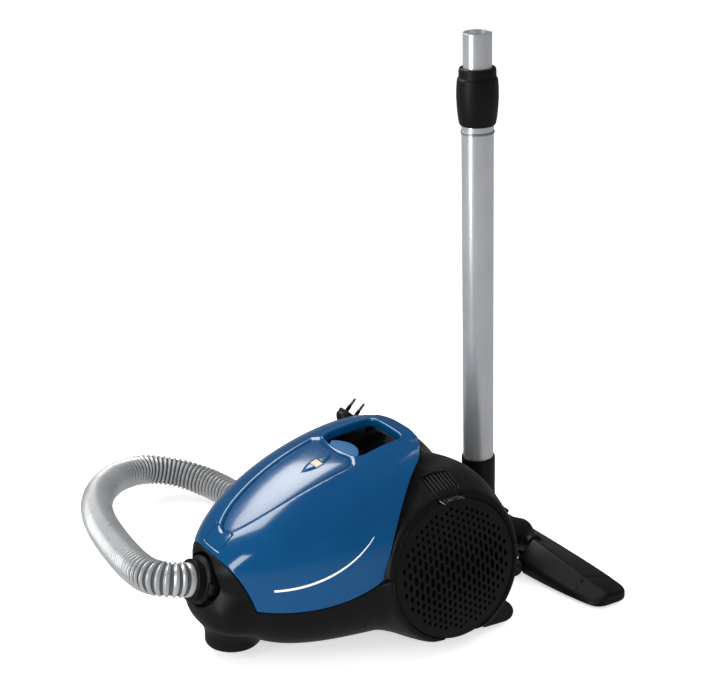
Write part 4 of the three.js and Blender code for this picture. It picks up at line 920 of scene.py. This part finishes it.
def used(tree, group, **values):
    node = place(tree, "ShaderNodeGroup", node_tree=group)
    for label, value in values.items():
        node.inputs[label.replace("_", " ")].default_value = value
    return node


def mix_colour(tree, share, first, second):
    """Blends two colours by a share."""
    node = place(tree, "ShaderNodeMix", data_type="RGBA")
    tree.links.new(share, node.inputs["Factor"])
    for socket, colour in ((node.inputs[6], first), (node.inputs[7], second)):
        if isinstance(colour, tuple):
            socket.default_value = (*colour, 1)
        else:
            tree.links.new(colour, socket)
    return node.outputs[2]


def relief(tree, shader, height, strength, distance):
    bump = place(tree, "ShaderNodeBump")
    bump.inputs["Strength"].default_value = strength
    bump.inputs["Distance"].default_value = distance
    tree.links.new(height, bump.inputs["Height"])
    tree.links.new(bump.outputs["Normal"], shader.inputs["Normal"])


def moulded(name, dark, light, rough, grain=1400, strength=0.25, dust=0.12, **values):
    """Grained moulded plastic or rubber: two tones, changing sheen and a little dust."""
    material, tree, shader = blank(name, **values)
    body = used(tree, GRAIN, Grain_Scale=grain)
    settled = used(tree, DUST, Amount=dust)
    tone = mix_colour(tree, body.outputs["Cloud"], dark, light)
    tree.links.new(mix_colour(tree, settled.outputs["Dust"], tone, (0.30, 0.29, 0.27)),
                   shader.inputs["Base Color"])
    sheen = spread(tree, body.outputs["Rub"], 0, 1, rough[1], rough[0])
    tree.links.new(maths(tree, "ADD", sheen, maths(tree, "MULTIPLY", settled.outputs["Dust"], 0.5), True),
                   shader.inputs["Roughness"])
    relief(tree, shader, body.outputs["Height"], strength, 0.00012)
    return material


def glossy(name, dark, light, rough, scratch=0.25, **values):
    """Polished plastic under clear lacquer, with wiping scratches and a faint haze."""
    material, tree, shader = blank(name, **values)
    body = used(tree, GRAIN, Grain_Scale=300, Cloud_Scale=9)
    wiped = used(tree, SCRATCHES, Length=40)
    settled = used(tree, DUST, Amount=0.012)
    tone = mix_colour(tree, body.outputs["Cloud"], dark, light)
    tree.links.new(mix_colour(tree, settled.outputs["Dust"], tone, (0.35, 0.37, 0.4)),
                   shader.inputs["Base Color"])
    marks = maths(tree, "MULTIPLY", wiped.outputs["Scratches"], scratch)
    haze = spread(tree, wiped.outputs["Haze"], 0, 1, rough[0], rough[1])
    tree.links.new(maths(tree, "ADD", haze, marks, True), shader.inputs["Roughness"])
    relief(tree, shader, body.outputs["Height"], 0.04, 0.0001)
    return material


def metal(name, tone, worn, rough, fineness=260, metallic=1.0, **values):
    """Plated or plain steel with draw marks and cloudy tarnish."""
    material, tree, shader = blank(name, Metallic=metallic, **values)
    drawn = used(tree, DRAWN, Fineness=fineness)
    wiped = used(tree, SCRATCHES, Length=60)
    tree.links.new(mix_colour(tree, drawn.outputs["Tarnish"], tone, worn), shader.inputs["Base Color"])
    base = spread(tree, drawn.outputs["Lines"], 0.3, 0.7, rough[0], rough[1])
    tree.links.new(maths(tree, "ADD", base, maths(tree, "MULTIPLY", wiped.outputs["Scratches"], 0.12), True),
                   shader.inputs["Roughness"])
    relief(tree, shader, drawn.outputs["Lines"], 0.08, 0.0001)
    return material


def fibrous(name, dark, light, rough, scale, strength, depth):
    """Paper, foam or bristle: loose fibres or cells."""
    material, tree, shader = blank(name)
    fibre = noise(tree, scale, 6, rough=0.75)
    cells = place(tree, "ShaderNodeTexVoronoi")
    cells.inputs["Scale"].default_value = scale
    tree.links.new(place(tree, "ShaderNodeTexCoord").outputs["Object"], cells.inputs["Vector"])
    both_kinds = maths(tree, "MULTIPLY", fibre, cells.outputs["Distance"])
    body = used(tree, GRAIN, Grain_Scale=scale, Cloud_Scale=22)
    share = maths(tree, "ADD", maths(tree, "MULTIPLY", body.outputs["Cloud"], 0.6), both_kinds, True)
    tree.links.new(mix_colour(tree, share, dark, light), shader.inputs["Base Color"])
    tree.links.new(spread(tree, fibre, 0.2, 0.8, rough - 0.08, min(1.0, rough + 0.06)),
                   shader.inputs["Roughness"])
    relief(tree, shader, both_kinds, strength, depth)
    return material


LID_BLUE = glossy("lid_blue_gloss", (0.000, 0.050, 0.150), (0.000, 0.060, 0.172), (0.10, 0.16),
                  scratch=0.06, Coat_Weight=0.3, Coat_Roughness=0.05)
PANEL_BLUE = glossy("panel_blue_gloss", (0.000, 0.052, 0.155), (0.000, 0.062, 0.178), (0.18, 0.26),
                    scratch=0.06, Coat_Weight=0.4, Coat_Roughness=0.12)
BUTTON_BLUE = glossy("button_pale_blue", (0.035, 0.135, 0.30), (0.05, 0.16, 0.34), (0.24, 0.34), scratch=0.1)
STRIPE_WHITE = glossy("stripe_white", (0.80, 0.82, 0.83), (0.88, 0.89, 0.90), (0.2, 0.3))
CREAM = glossy("indicator_cream", (0.46, 0.40, 0.27), (0.56, 0.49, 0.34), (0.25, 0.4), scratch=0.1)
SHELL_BLACK = moulded("housing_black", (0.0026, 0.0026, 0.0030), (0.0042, 0.0042, 0.0047), (0.32, 0.44),
                      dust=0.03, Specular_IOR_Level=0.25)
GRILLE_BLACK = moulded("grille_black", (0.0026, 0.0026, 0.0029), (0.0042, 0.0042, 0.0046), (0.42, 0.52),
                       dust=0.015, Specular_IOR_Level=0.3)
GLOSS_BLACK = glossy("latch_gloss_black", (0.003, 0.003, 0.003), (0.005, 0.005, 0.006), (0.10, 0.2))
TRIM_GREY = moulded("trim_dark_grey", (0.006, 0.006, 0.0065), (0.009, 0.009, 0.0095), (0.42, 0.55), dust=0.03)
RUBBER = moulded("tyre_rubber", (0.006, 0.006, 0.006), (0.012, 0.012, 0.012), (0.7, 0.85), 700, 0.5, 0.3)
HOSE_SILVER = moulded("hose_silver", (0.46, 0.47, 0.48), (0.56, 0.57, 0.58), (0.22, 0.34), 900, 0.1, 0.03,
                      Metallic=0.55)
# the hose's groove material: a dark grey painted into the corrugation grooves as their shade
HOSE_GROOVE_SHADE = moulded("hose_groove_painted_shade", (0.040, 0.042, 0.045), (0.065, 0.068, 0.07), (0.5, 0.65), 900, 0.2,
                      0.03)
PLATED = metal("wand_plated_steel", (0.70, 0.72, 0.74), (0.62, 0.64, 0.67), (0.26, 0.36), metallic=0.78)
STEEL = metal("plain_steel", (0.52, 0.53, 0.54), (0.40, 0.41, 0.42), (0.28, 0.45), 500)
PIN_STEEL = metal("pin_bright_steel", (0.52, 0.52, 0.51), (0.42, 0.42, 0.41), (0.14, 0.25), 400)
COPPER = metal("winding_copper", (0.72, 0.36, 0.17), (0.50, 0.23, 0.10), (0.25, 0.45), 900)
PAPER = fibrous("bag_paper", (0.52, 0.44, 0.30), (0.70, 0.62, 0.46), 0.88, 900, 0.35, 0.0003)
FOAM = fibrous("filter_foam", (0.012, 0.013, 0.015), (0.05, 0.052, 0.058), 0.92, 700, 0.9, 0.0008)
BRISTLE = fibrous("brush_bristle", (0.006, 0.006, 0.006), (0.03, 0.03, 0.03), 0.75, 1500, 0.9, 0.0008)
BOARD = moulded("board_green", (0.008, 0.06, 0.02), (0.012, 0.10, 0.035), (0.3, 0.45), 500, 0.3, 0.02)


# ------------------------------------------------------------------ shells
FINE = 1.25


def moulding(name, field, low, high, body, material, nodes, step=None):
    return piece(surface(name, field, low, high, step or FINE), body, material, nodes)


moulding("lid_shell", lid_field, (-131, -170, 66), (131, 114, 227), "lid", LID_BLUE, "lid")
moulding("inlaid_crown_panel", panel_field, (-46, -134, 140), (46, 20, 228), "lid", PANEL_BLUE,
         "lid_top_panel", FINE * 0.7)
moulding("bag_full_window", indicator_field, (-1, -24, 194), (19, -8, 212), "lid", CREAM,
         "bag_indicator", 0.6)
moulding("nose_catch", catch_field, (-19, -166, 130), (19, -125, 165), "lid_catch", LID_BLUE,
         "lid_catch", 0.8)
for label, side in (("left", 1), ("right", -1)):
    across = sorted((38 * side, 132 * side))
    moulding(f"{label}_flank_stripe", stripe_field(side), (across[0], -115, 98), (across[1], -2, 158),
             "lid", STRIPE_WHITE, f"lid_stripe_{label}", 0.6)
    disc = disc_at(side)
    moulding(f"{label}_perforated_grille", grille_field(side), disc - (26, 82, 82), disc + (26, 82, 82),
             "left_grille" if side > 0 else "machine", GRILLE_BLACK, f"{label}_grille",
             0.75)
moulding("power_rocker", button_field, (-30, 9, 201), (30, 43, 213), "power_button", BUTTON_BLUE,
         "power_button", 0.8)
moulding("rear_shell", rear_field, (-146, -24, 103), (146, 192, 211), "machine", SHELL_BLACK,
         "rear_housing")
moulding("lower_shell", lower_field, (-150, -172, 1), (150, 200, 143), "machine", SHELL_BLACK,
         "lower_housing")
moulding("shoulder_grip_ribs", ribs_field, (82, 70, 160), (110, 108, 205), "machine", TRIM_GREY,
         "grip_ribs", 0.6)
moulding("grille_release", latch_field, (106, 72, 155), (142, 106, 200), "grille_latch", GLOSS_BLACK,
         "grille_latch", 0.7)
moulding("neck_elbow", elbow_field, (-33, 186, 11), (33, 305, 102), "neck", SHELL_BLACK,
         "nozzle_elbow", 1.2)
moulding("floor_nozzle_shell", nozzle_field, (-163, 250, 1), (163, 331, 45), "nozzle", SHELL_BLACK,
         "nozzle_body", 1.2)
moulding("floor_nozzle_rocker", pedal_field, (-86, 274, 30), (-48, 308, 41), "rocker_pedal", TRIM_GREY,
         "rocker_pedal", 0.9)


# ------------------------------------------------------------------ filters and dust bag
def bag_field(p):
    """The dust bag: the body shape set in from its wall, with pleats."""
    skin = egg(p) + 16
    pleat = 1.6 * np.abs(np.sin(p[:, 1] / 7.5)) + 0.7 * np.sin(p[:, 0] / 9 + p[:, 2] / 13)
    f = both(skin + pleat, -drum_round(p) + 8.5, 9)
    f = both(f, field_box(p, -112, 112, -126, -12, 28, 196, 16) + 0.5 * pleat, 9)
    f = minus(f, field_rod(p, 71, INLET_AT, INLET_AXIS, -31, 60), 5)
    return minus(f, field_rod(p, 36, (0, -122, 0), (0, 0, 1), -2, 51), 5)


def pleated_filter_field(p):
    skin = drum_round(p)
    fold = 0.9 * np.abs(np.sin(p[:, 0] * np.pi / 5))
    band = both(skin - 3.3 + fold, -(skin + 3.9), 1.5)
    return both(band, field_box(p, -44.5, 44.5, -30, 40, 45.5, 92.5, 3), 2)


dust_bag = moulding("pleated_dust_bag", bag_field, (-116, -130, 24), (116, -6, 200), "machine", PAPER,
                    "dust_bag", 1.9)
motor_pad = moulding("pleated_motor_filter", pleated_filter_field, (-47, -16, 43), (47, 24, 95), "machine",
                     FOAM, "motor_filter", 0.9)
exhaust_pad = piece(turned("exhaust_filter_pad", rounded(
    [(0, -20.8), (59.5, -20.8), (59.5, -9.6), (20, -9.9), (0, -9.8)], 3, 6), disc_at(1), disc_axis(1), 96),
    "machine", FOAM, "exhaust_filter")


# ------------------------------------------------------------------ wheels
def wheel_profile(half, r, stub):
    """Tyre with two grooves on a dished hub, its axle stubs moulded on."""
    return rounded([(0, -stub), (2.5, -stub), (2.5, -half + 1), (r - 5, -half + 1), (r - 4, -half),
                    (r - 1.6, -half), (r, -half + 1.6), (r, -half * 0.35), (r - 0.8, -half * 0.25),
                    (r, -half * 0.15), (r, half * 0.15), (r - 0.8, half * 0.25), (r, half * 0.35),
                    (r, half - 1.6), (r - 1.6, half), (r - 4, half), (r - 5, half - 1), (2.5, half - 1),
                    (2.5, stub), (0, stub)], 0.7, 3)


for label, side in (("left", 1), ("right", -1)):
    piece(turned(f"{label}_rear_roller", wheel_profile(8, 14, 12), (side * 112, 158, 14), (1, 0, 0)),
          f"{label}_rear_wheel", RUBBER, f"{label}_rear_wheel")
    piece(turned(f"{label}_nozzle_roller", rounded(
        [(0, -5), (7, -5), (8.6, -5), (10, -3.6), (10, 3.6), (8.6, 5), (2.5, 5), (2.5, 9), (0, 9)], 0.6),
        (side * 36, 248, 10), (side, 0, 0)), f"{label}_nozzle_wheel", RUBBER, f"{label}_nozzle_wheel")
piece(turned("front_castor_rollers", rounded(
    [(0, -12), (11.5, -12), (14, -9.5), (14, -3.3), (13, -2.3), (2.5, -2.3), (2.5, 2.3), (13, 2.3),
     (14, 3.3), (14, 9.5), (11.5, 12), (0, 12)], 0.8), (0, -114, 14), (1, 0, 0)),
    "castor_wheels", RUBBER, "castor_wheels")


# ------------------------------------------------------------------ inlet, connector and latches
piece(turned("inlet_sleeve", rounded(
    [(18.5, -24), (21, -24), (21, 18), (18.5, 18), (18.5, -24)], 0.7), INLET_AT, INLET_AXIS),
    "machine", TRIM_GREY, "inlet_tube")


def connector_field(p):
    """The hose connector with its grip ring."""
    radius, h = along(p, INLET_AT, INLET_AXIS)
    angle = np.arctan2(p[:, 0], (p - INLET_AT) @ [0, INLET_AXIS[2], -INLET_AXIS[1]])
    heights = [-6, 17.8, 18.3, 19.5, 23.5, 26, 34.6, 35]
    outer = np.interp(h, heights, [18.2, 18.2, 25.6, 26.6, 26.6, 23, 23, 22.4])
    ring = np.abs(((angle + np.pi) / (2 * np.pi) * 40) % 1 - 0.5) * 2 * np.pi * 23 / 40
    rib = np.where((h > 27) & (h < 33.5), 0.9 * np.clip(ring - 0.8, 0, 1), 0)
    f = both(radius - outer + rib, np.maximum(-6 - h, h - 35), 0.8)
    f = minus(f, both(radius - 16.3, np.maximum(-7 - h, h - 36), 0.2), 0.5)
    for side in (1, -1):
        f = minus(f, latch_box(p, side, 0.3, 2.0), 0.3)
    return f * 0.8


def latch_box(p, side, grow, travel):
    """The outline of one connector latch, at its place on the ring."""
    q = p - (INLET_AT + INLET_AXIS * 21.4)
    up = np.array([0, INLET_AXIS[2], -INLET_AXIS[1]])
    x0, x1 = 23 - grow - travel, 28.0
    local = np.stack([p[:, 0] * side - (x0 + x1) / 2, q @ INLET_AXIS, q @ up], 1)
    outward, upward = (6, 2.5) if LATCH_LONG else (2.5, 6)
    half = np.array([(x1 - x0) / 2, outward + grow, upward + grow])
    d = np.abs(local) - half
    return np.linalg.norm(np.maximum(d, 0), axis=1) + np.minimum(d.max(axis=1), 0)


def latch_face(side):
    def field(p):
        d = latch_box(p, side, -0.8, 0) - 0.7
        wave = 0.35 * np.abs(np.sin((p[:, 2] - 92) * np.pi / 1.9))
        return d + np.where(p[:, 0] * side > 26, wave, 0)
    return field


low, high = (np.array(c) * 1000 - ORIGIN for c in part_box("left_hose_latch"))
LATCH_LONG = abs(high[1] - low[1]) > abs(high[2] - low[2])
moulding("hose_connector_collar", connector_field, (-30, -182, 66), (30, -130, 132), "hose_connector",
         SHELL_BLACK, "hose_connector", 0.9)
for label, side in (("left", 1), ("right", -1)):
    low, high = (np.array(c) * 1000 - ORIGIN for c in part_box(f"{label}_hose_latch"))
    moulding(f"{label}_connector_latch", latch_face(side), low - 2, high + 2, f"{label}_hose_latch",
             TRIM_GREY, f"{label}_hose_latch", 0.5)


# ------------------------------------------------------------------ hose
hose_piece, hose_line = hose()
piece(hose_piece, "machine", [HOSE_SILVER, HOSE_GROOVE_SHADE], "hose")
hose_run = evenly(hose_line, 5.0)[0]
HOSE_LENGTH = float(np.sum(np.linalg.norm(np.diff(hose_line, axis=0), axis=1))) * MM


def paint_groove_shade(obj, sides=56):
    """The deep third of each corrugation takes the second, darker finish: a painted shade in the grooves."""
    ring = np.arange(len(obj.data.polygons)) // sides
    phase = ((ring + 0.5) / 10) % 1
    deep = (phase < 0.2) | (phase > 0.8)
    deep &= ring < len(hose_line) - 1
    obj.data.polygons.foreach_set("material_index", deep.astype(np.int32))


# the darker groove faces are painted shade, not a different colour of the hose
paint_groove_shade(hose_piece)
handle_piece, handle_line = handle()
piece(handle_piece, "machine", SHELL_BLACK, "hose_handle")


def slider_field(p):
    """The suction slider on the handle."""
    low, high = slider_low, slider_high
    centre = (low + high) / 2
    d = handle_line[-1] - handle_line[-10]
    d[2] = 0
    d /= np.linalg.norm(d)
    side = np.array([-d[1], d[0], 0])
    q = p - centre
    local = np.stack([q @ d, q @ side, q[:, 2]], 1)
    half = np.array([9, 5, (high[2] - low[2]) / 2])
    e = np.abs(local) - (half - 0.9)
    box = np.linalg.norm(np.maximum(e, 0), axis=1) + np.minimum(e.max(axis=1), 0) - 0.9
    return box + np.where(local[:, 2] > half[2] - 1.6, 0.5 * np.abs(np.sin(local[:, 0] * np.pi / 3)), 0)


slider_low, slider_high = (np.array(c) * 1000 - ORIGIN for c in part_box("bypass_slider"))
slider = moulding("suction_slider", slider_field, slider_low - 2, slider_high + 2, "bypass_slider",
                  TRIM_GREY, "bypass_slider", 0.5)
[[float(v) for v in q] for q in (hose_run + ORIGIN) * MM]


# ------------------------------------------------------------------ wand
LEAN = math.radians(2.05)
WAND_AT, WAND_AXIS = np.array([0, 221.0, 0]), np.array([0, -math.sin(LEAN), math.cos(LEAN)])


def on_wand(name, profile, body, material, nodes, sides=96):
    return piece(turned(name, profile, WAND_AT, WAND_AXIS, sides), body, material, nodes)


on_wand("lower_wand_tube", rounded([(16.8, 132), (18, 132), (18, 567), (16.8, 567), (16.8, 132)], 0.5),
        "wand", PLATED, "lower_tube")
on_wand("upper_wand_tube", rounded([(14.8, 314), (16, 314), (16, 658), (14.8, 658), (14.8, 314)], 0.5),
        "upper_tube", PLATED, "upper_tube")
on_wand("wand_trim_ring", rounded(
    [(18.15, 547), (18.9, 547), (18.9, 549.5), (18.15, 549.5), (18.15, 547)], 0.3),
        "wand", STEEL, "tube_ring")
on_wand("telescope_collar", rounded(
    [(18.3, 556), (19.3, 556), (20.6, 558), (21.8, 565), (22.9, 576), (23.5, 588), (23.3, 598), (22.6, 607),
     (21.0, 609.5), (20.8, 611), (20.8, 617), (19.8, 620), (17, 620), (17, 575), (18.3, 575), (18.3, 556)],
    2.5, 6), "slide_collar", SHELL_BLACK, "slide_collar")
on_wand("wand_foot_socket", rounded(
    [(14, 99), (19.4, 99), (19.9, 102), (19.9, 110), (19.4, 110.6), (19.4, 111.8), (19.9, 112.4), (20, 152.7),
     (19.3, 154.5), (18.3, 154.5), (18.3, 131.5), (14, 131.5), (14, 99)], 0.7),
    "wand", SHELL_BLACK, "nozzle_socket")


# ------------------------------------------------------------------ mains plug
PLUG_AT, PLUG_AXIS = np.array([-96, 84, 186.0]), np.array([0, 0.68, 0.733])


def plug():
    """The mains plug with its two pins."""
    body = turned("mains_plug", rounded(
        [(0, -8), (3.6, -8), (3.6, 1), (6, 1.5), (8, 3), (11, 5), (14.2, 9), (15, 11), (15, 13), (14.3, 14),
         (14.3, 15), (15, 16), (15, 18), (14, 19), (0, 19)], 0.8), PLUG_AT, PLUG_AXIS)
    piece(body, "machine", SHELL_BLACK, "plug")
    for label, x in (("left", 9.5), ("right", -9.5)):
        at = PLUG_AT + (x, 0, 0)
        sleeve = turned(f"{label}_plug_pin_sleeve", rounded(
            [(0, 18), (2.45, 18), (2.45, 26.5), (2.0, 27.3), (0, 27.3)], 0.3), at, PLUG_AXIS, 32)
        piece(sleeve, "machine", SHELL_BLACK, None)
        pin = turned(f"{label}_plug_pin", rounded(
            [(0, 25), (2.0, 25), (2.0, 36.4), (1.4, 37.7), (0, 38)], 0.4), at, PLUG_AXIS, 32)
        piece(pin, "machine", PIN_STEEL, None)


plug()


# ------------------------------------------------------------------ bristles
def bristle_strips():
    """Two rows of tufts standing in a rail, joined by the end ties of their frame."""
    rng = np.random.default_rng(7)
    points, faces = [], []

    def bar(x0, x1, y0, y1, z0, z1):
        n = len(points)
        points.extend([(x, y, z) for z in (z0, z1) for x, y in ((x0, y0), (x1, y0), (x1, y1), (x0, y1))])
        faces.extend([[n + 3, n + 2, n + 1, n], [n + 4, n + 5, n + 6, n + 7]])
        faces.extend([[n + k, n + (k + 1) % 4, n + 4 + (k + 1) % 4, n + 4 + k] for k in range(4)])

    for y in (312, 279):
        bar(-100, 100, y - 1.8, y + 1.8, 6.6, 9)
        for x in np.arange(-98.5, 98.6, 1.55):
            for _ in range(5):
                root = np.array([x + rng.uniform(-0.8, 0.8), y + rng.uniform(-1.1, 1.1), 6.8])
                tip = root + (rng.uniform(-0.5, 0.5), rng.uniform(-0.5, 0.5), -5.3 + rng.uniform(0, 0.5))
                n = len(points)
                turn = rng.uniform(0, 2)
                for centre, r in ((root, 0.26), (tip, 0.16)):
                    for k in range(3):
                        corner = turn + k * 2.1
                        points.append(tuple(centre + r * np.array([math.cos(corner), math.sin(corner), 0])))
                faces.extend([[n + k, n + 3 + k, n + 3 + (k + 1) % 3, n + (k + 1) % 3] for k in range(3)])
                faces.extend([[n, n + 1, n + 2], [n + 5, n + 4, n + 3]])
    for x in (-100, 92):
        bar(x, x + 8, 279, 312, 6, 9)
    return smooth_object("nozzle_bristles", points, faces, sharp=40)


piece(bristle_strips(), "brush_frame", BRISTLE, "brush_frame")


# ------------------------------------------------------------------ parts kept from the frame
KEPT = {
    "lid_hinge_pin": STEEL, "left_lid_seal": RUBBER, "right_lid_seal": RUBBER, "bag_holder": TRIM_GREY,
    "inlet_seal": RUBBER, "motor_shell": TRIM_GREY, "motor_stator": COPPER, "motor_mount": RUBBER,
    "reel_axle": STEEL, "reel_spring_case": STEEL, "control_board": BOARD, "cord_outlet": TRIM_GREY,
    "button_frame": SHELL_BLACK, "castor_fork": TRIM_GREY, "motor_rotor": STEEL, "reel_drum": TRIM_GREY,
    "reel_cord": RUBBER, "tube_sleeve": TRIM_GREY, "sole_plate": STEEL, "nozzle_hinge_pin": STEEL}
for node, material in KEPT.items():
    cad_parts[node].data.materials.clear()
    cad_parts[node].data.materials.append(material)


# ------------------------------------------------------------------ floor, sky and lights
def floor():
    """The white floor that takes the shadow."""
    material, tree, shader = blank("floor_white", Roughness=0.6)
    cloud = noise(tree, 1.5, 3)
    tree.links.new(mix_colour(tree, cloud, (0.90, 0.90, 0.90), (0.93, 0.93, 0.93)),
                   shader.inputs["Base Color"])
    mesh = bpy.data.meshes.new("studio_floor")
    mesh.from_pydata([(-8, -8, 0), (8, -8, 0), (8, 8, 0), (-8, 8, 0)], [], [[0, 1, 2, 3]])
    obj = bpy.data.objects.new("studio_floor", mesh)
    bpy.context.scene.collection.objects.link(obj)
    mesh.materials.append(material)
    obj.visible_glossy = False
    shader.inputs["Emission Color"].default_value = (1, 1, 1, 1)
    shader.inputs["Emission Strength"].default_value = 0.55


def sky():
    """The white surroundings."""
    world = bpy.data.worlds.new("studio")
    bpy.context.scene.world = world
    world.use_nodes = True
    tree = world.node_tree
    back = tree.nodes["Background"]
    path = place(tree, "ShaderNodeLightPath")
    heading = place(tree, "ShaderNodeSeparateXYZ")
    tree.links.new(place(tree, "ShaderNodeTexCoord").outputs["Generated"], heading.inputs["Vector"])
    mirrored = spread(tree, heading.outputs["Z"], -0.25, 0.1, 0.3, 0.1)
    mirrored = maths(tree, "MULTIPLY", mirrored, path.outputs["Is Glossy Ray"])
    strength = maths(tree, "MULTIPLY", path.outputs["Is Diffuse Ray"], 0.62)
    strength = maths(tree, "ADD", maths(tree, "ADD", strength, mirrored), path.outputs["Is Camera Ray"])
    back.inputs["Color"].default_value = (1, 1, 1, 1)
    tree.links.new(strength, back.inputs["Strength"])


CENTRE = Vector((0.0, 0.0, 0.18))


def softbox(name, right, back, up, wide, tall, power, glossy=True):
    """A rectangular light placed by how far right of, towards and above the camera's line it is."""
    light = bpy.data.lights.new(name, "AREA")
    light.shape = "RECTANGLE"
    light.size, light.size_y, light.energy = wide, tall, power
    flat = Vector((CAMERA_BACK.x, CAMERA_BACK.y, 0)).normalized()
    at = CENTRE + CAMERA_RIGHT * right + flat * back + Vector((0, 0, up))
    obj = bpy.data.objects.new(name, light)
    obj.location = at
    obj.rotation_euler = (CENTRE - at).to_track_quat("-Z", "Y").to_euler()
    obj.visible_glossy = glossy
    bpy.context.scene.collection.objects.link(obj)


floor()
sky()
softbox("key_softbox", -1.1, -0.9, 1.5, 1.5, 0.9, 34)
softbox("front_fill", 0.5, 2.2, 0.9, 0.7, 0.7, 12, glossy=False)
softbox("right_strip", 1.5, -0.9, 1.0, 0.4, 1.6, 14, glossy=False)
softbox("left_strip", -1.7, 1.2, 0.5, 0.45, 1.8, 20)
bpy.context.scene.view_settings.view_transform = "Standard"
bpy.context.scene.view_settings.look = "None"
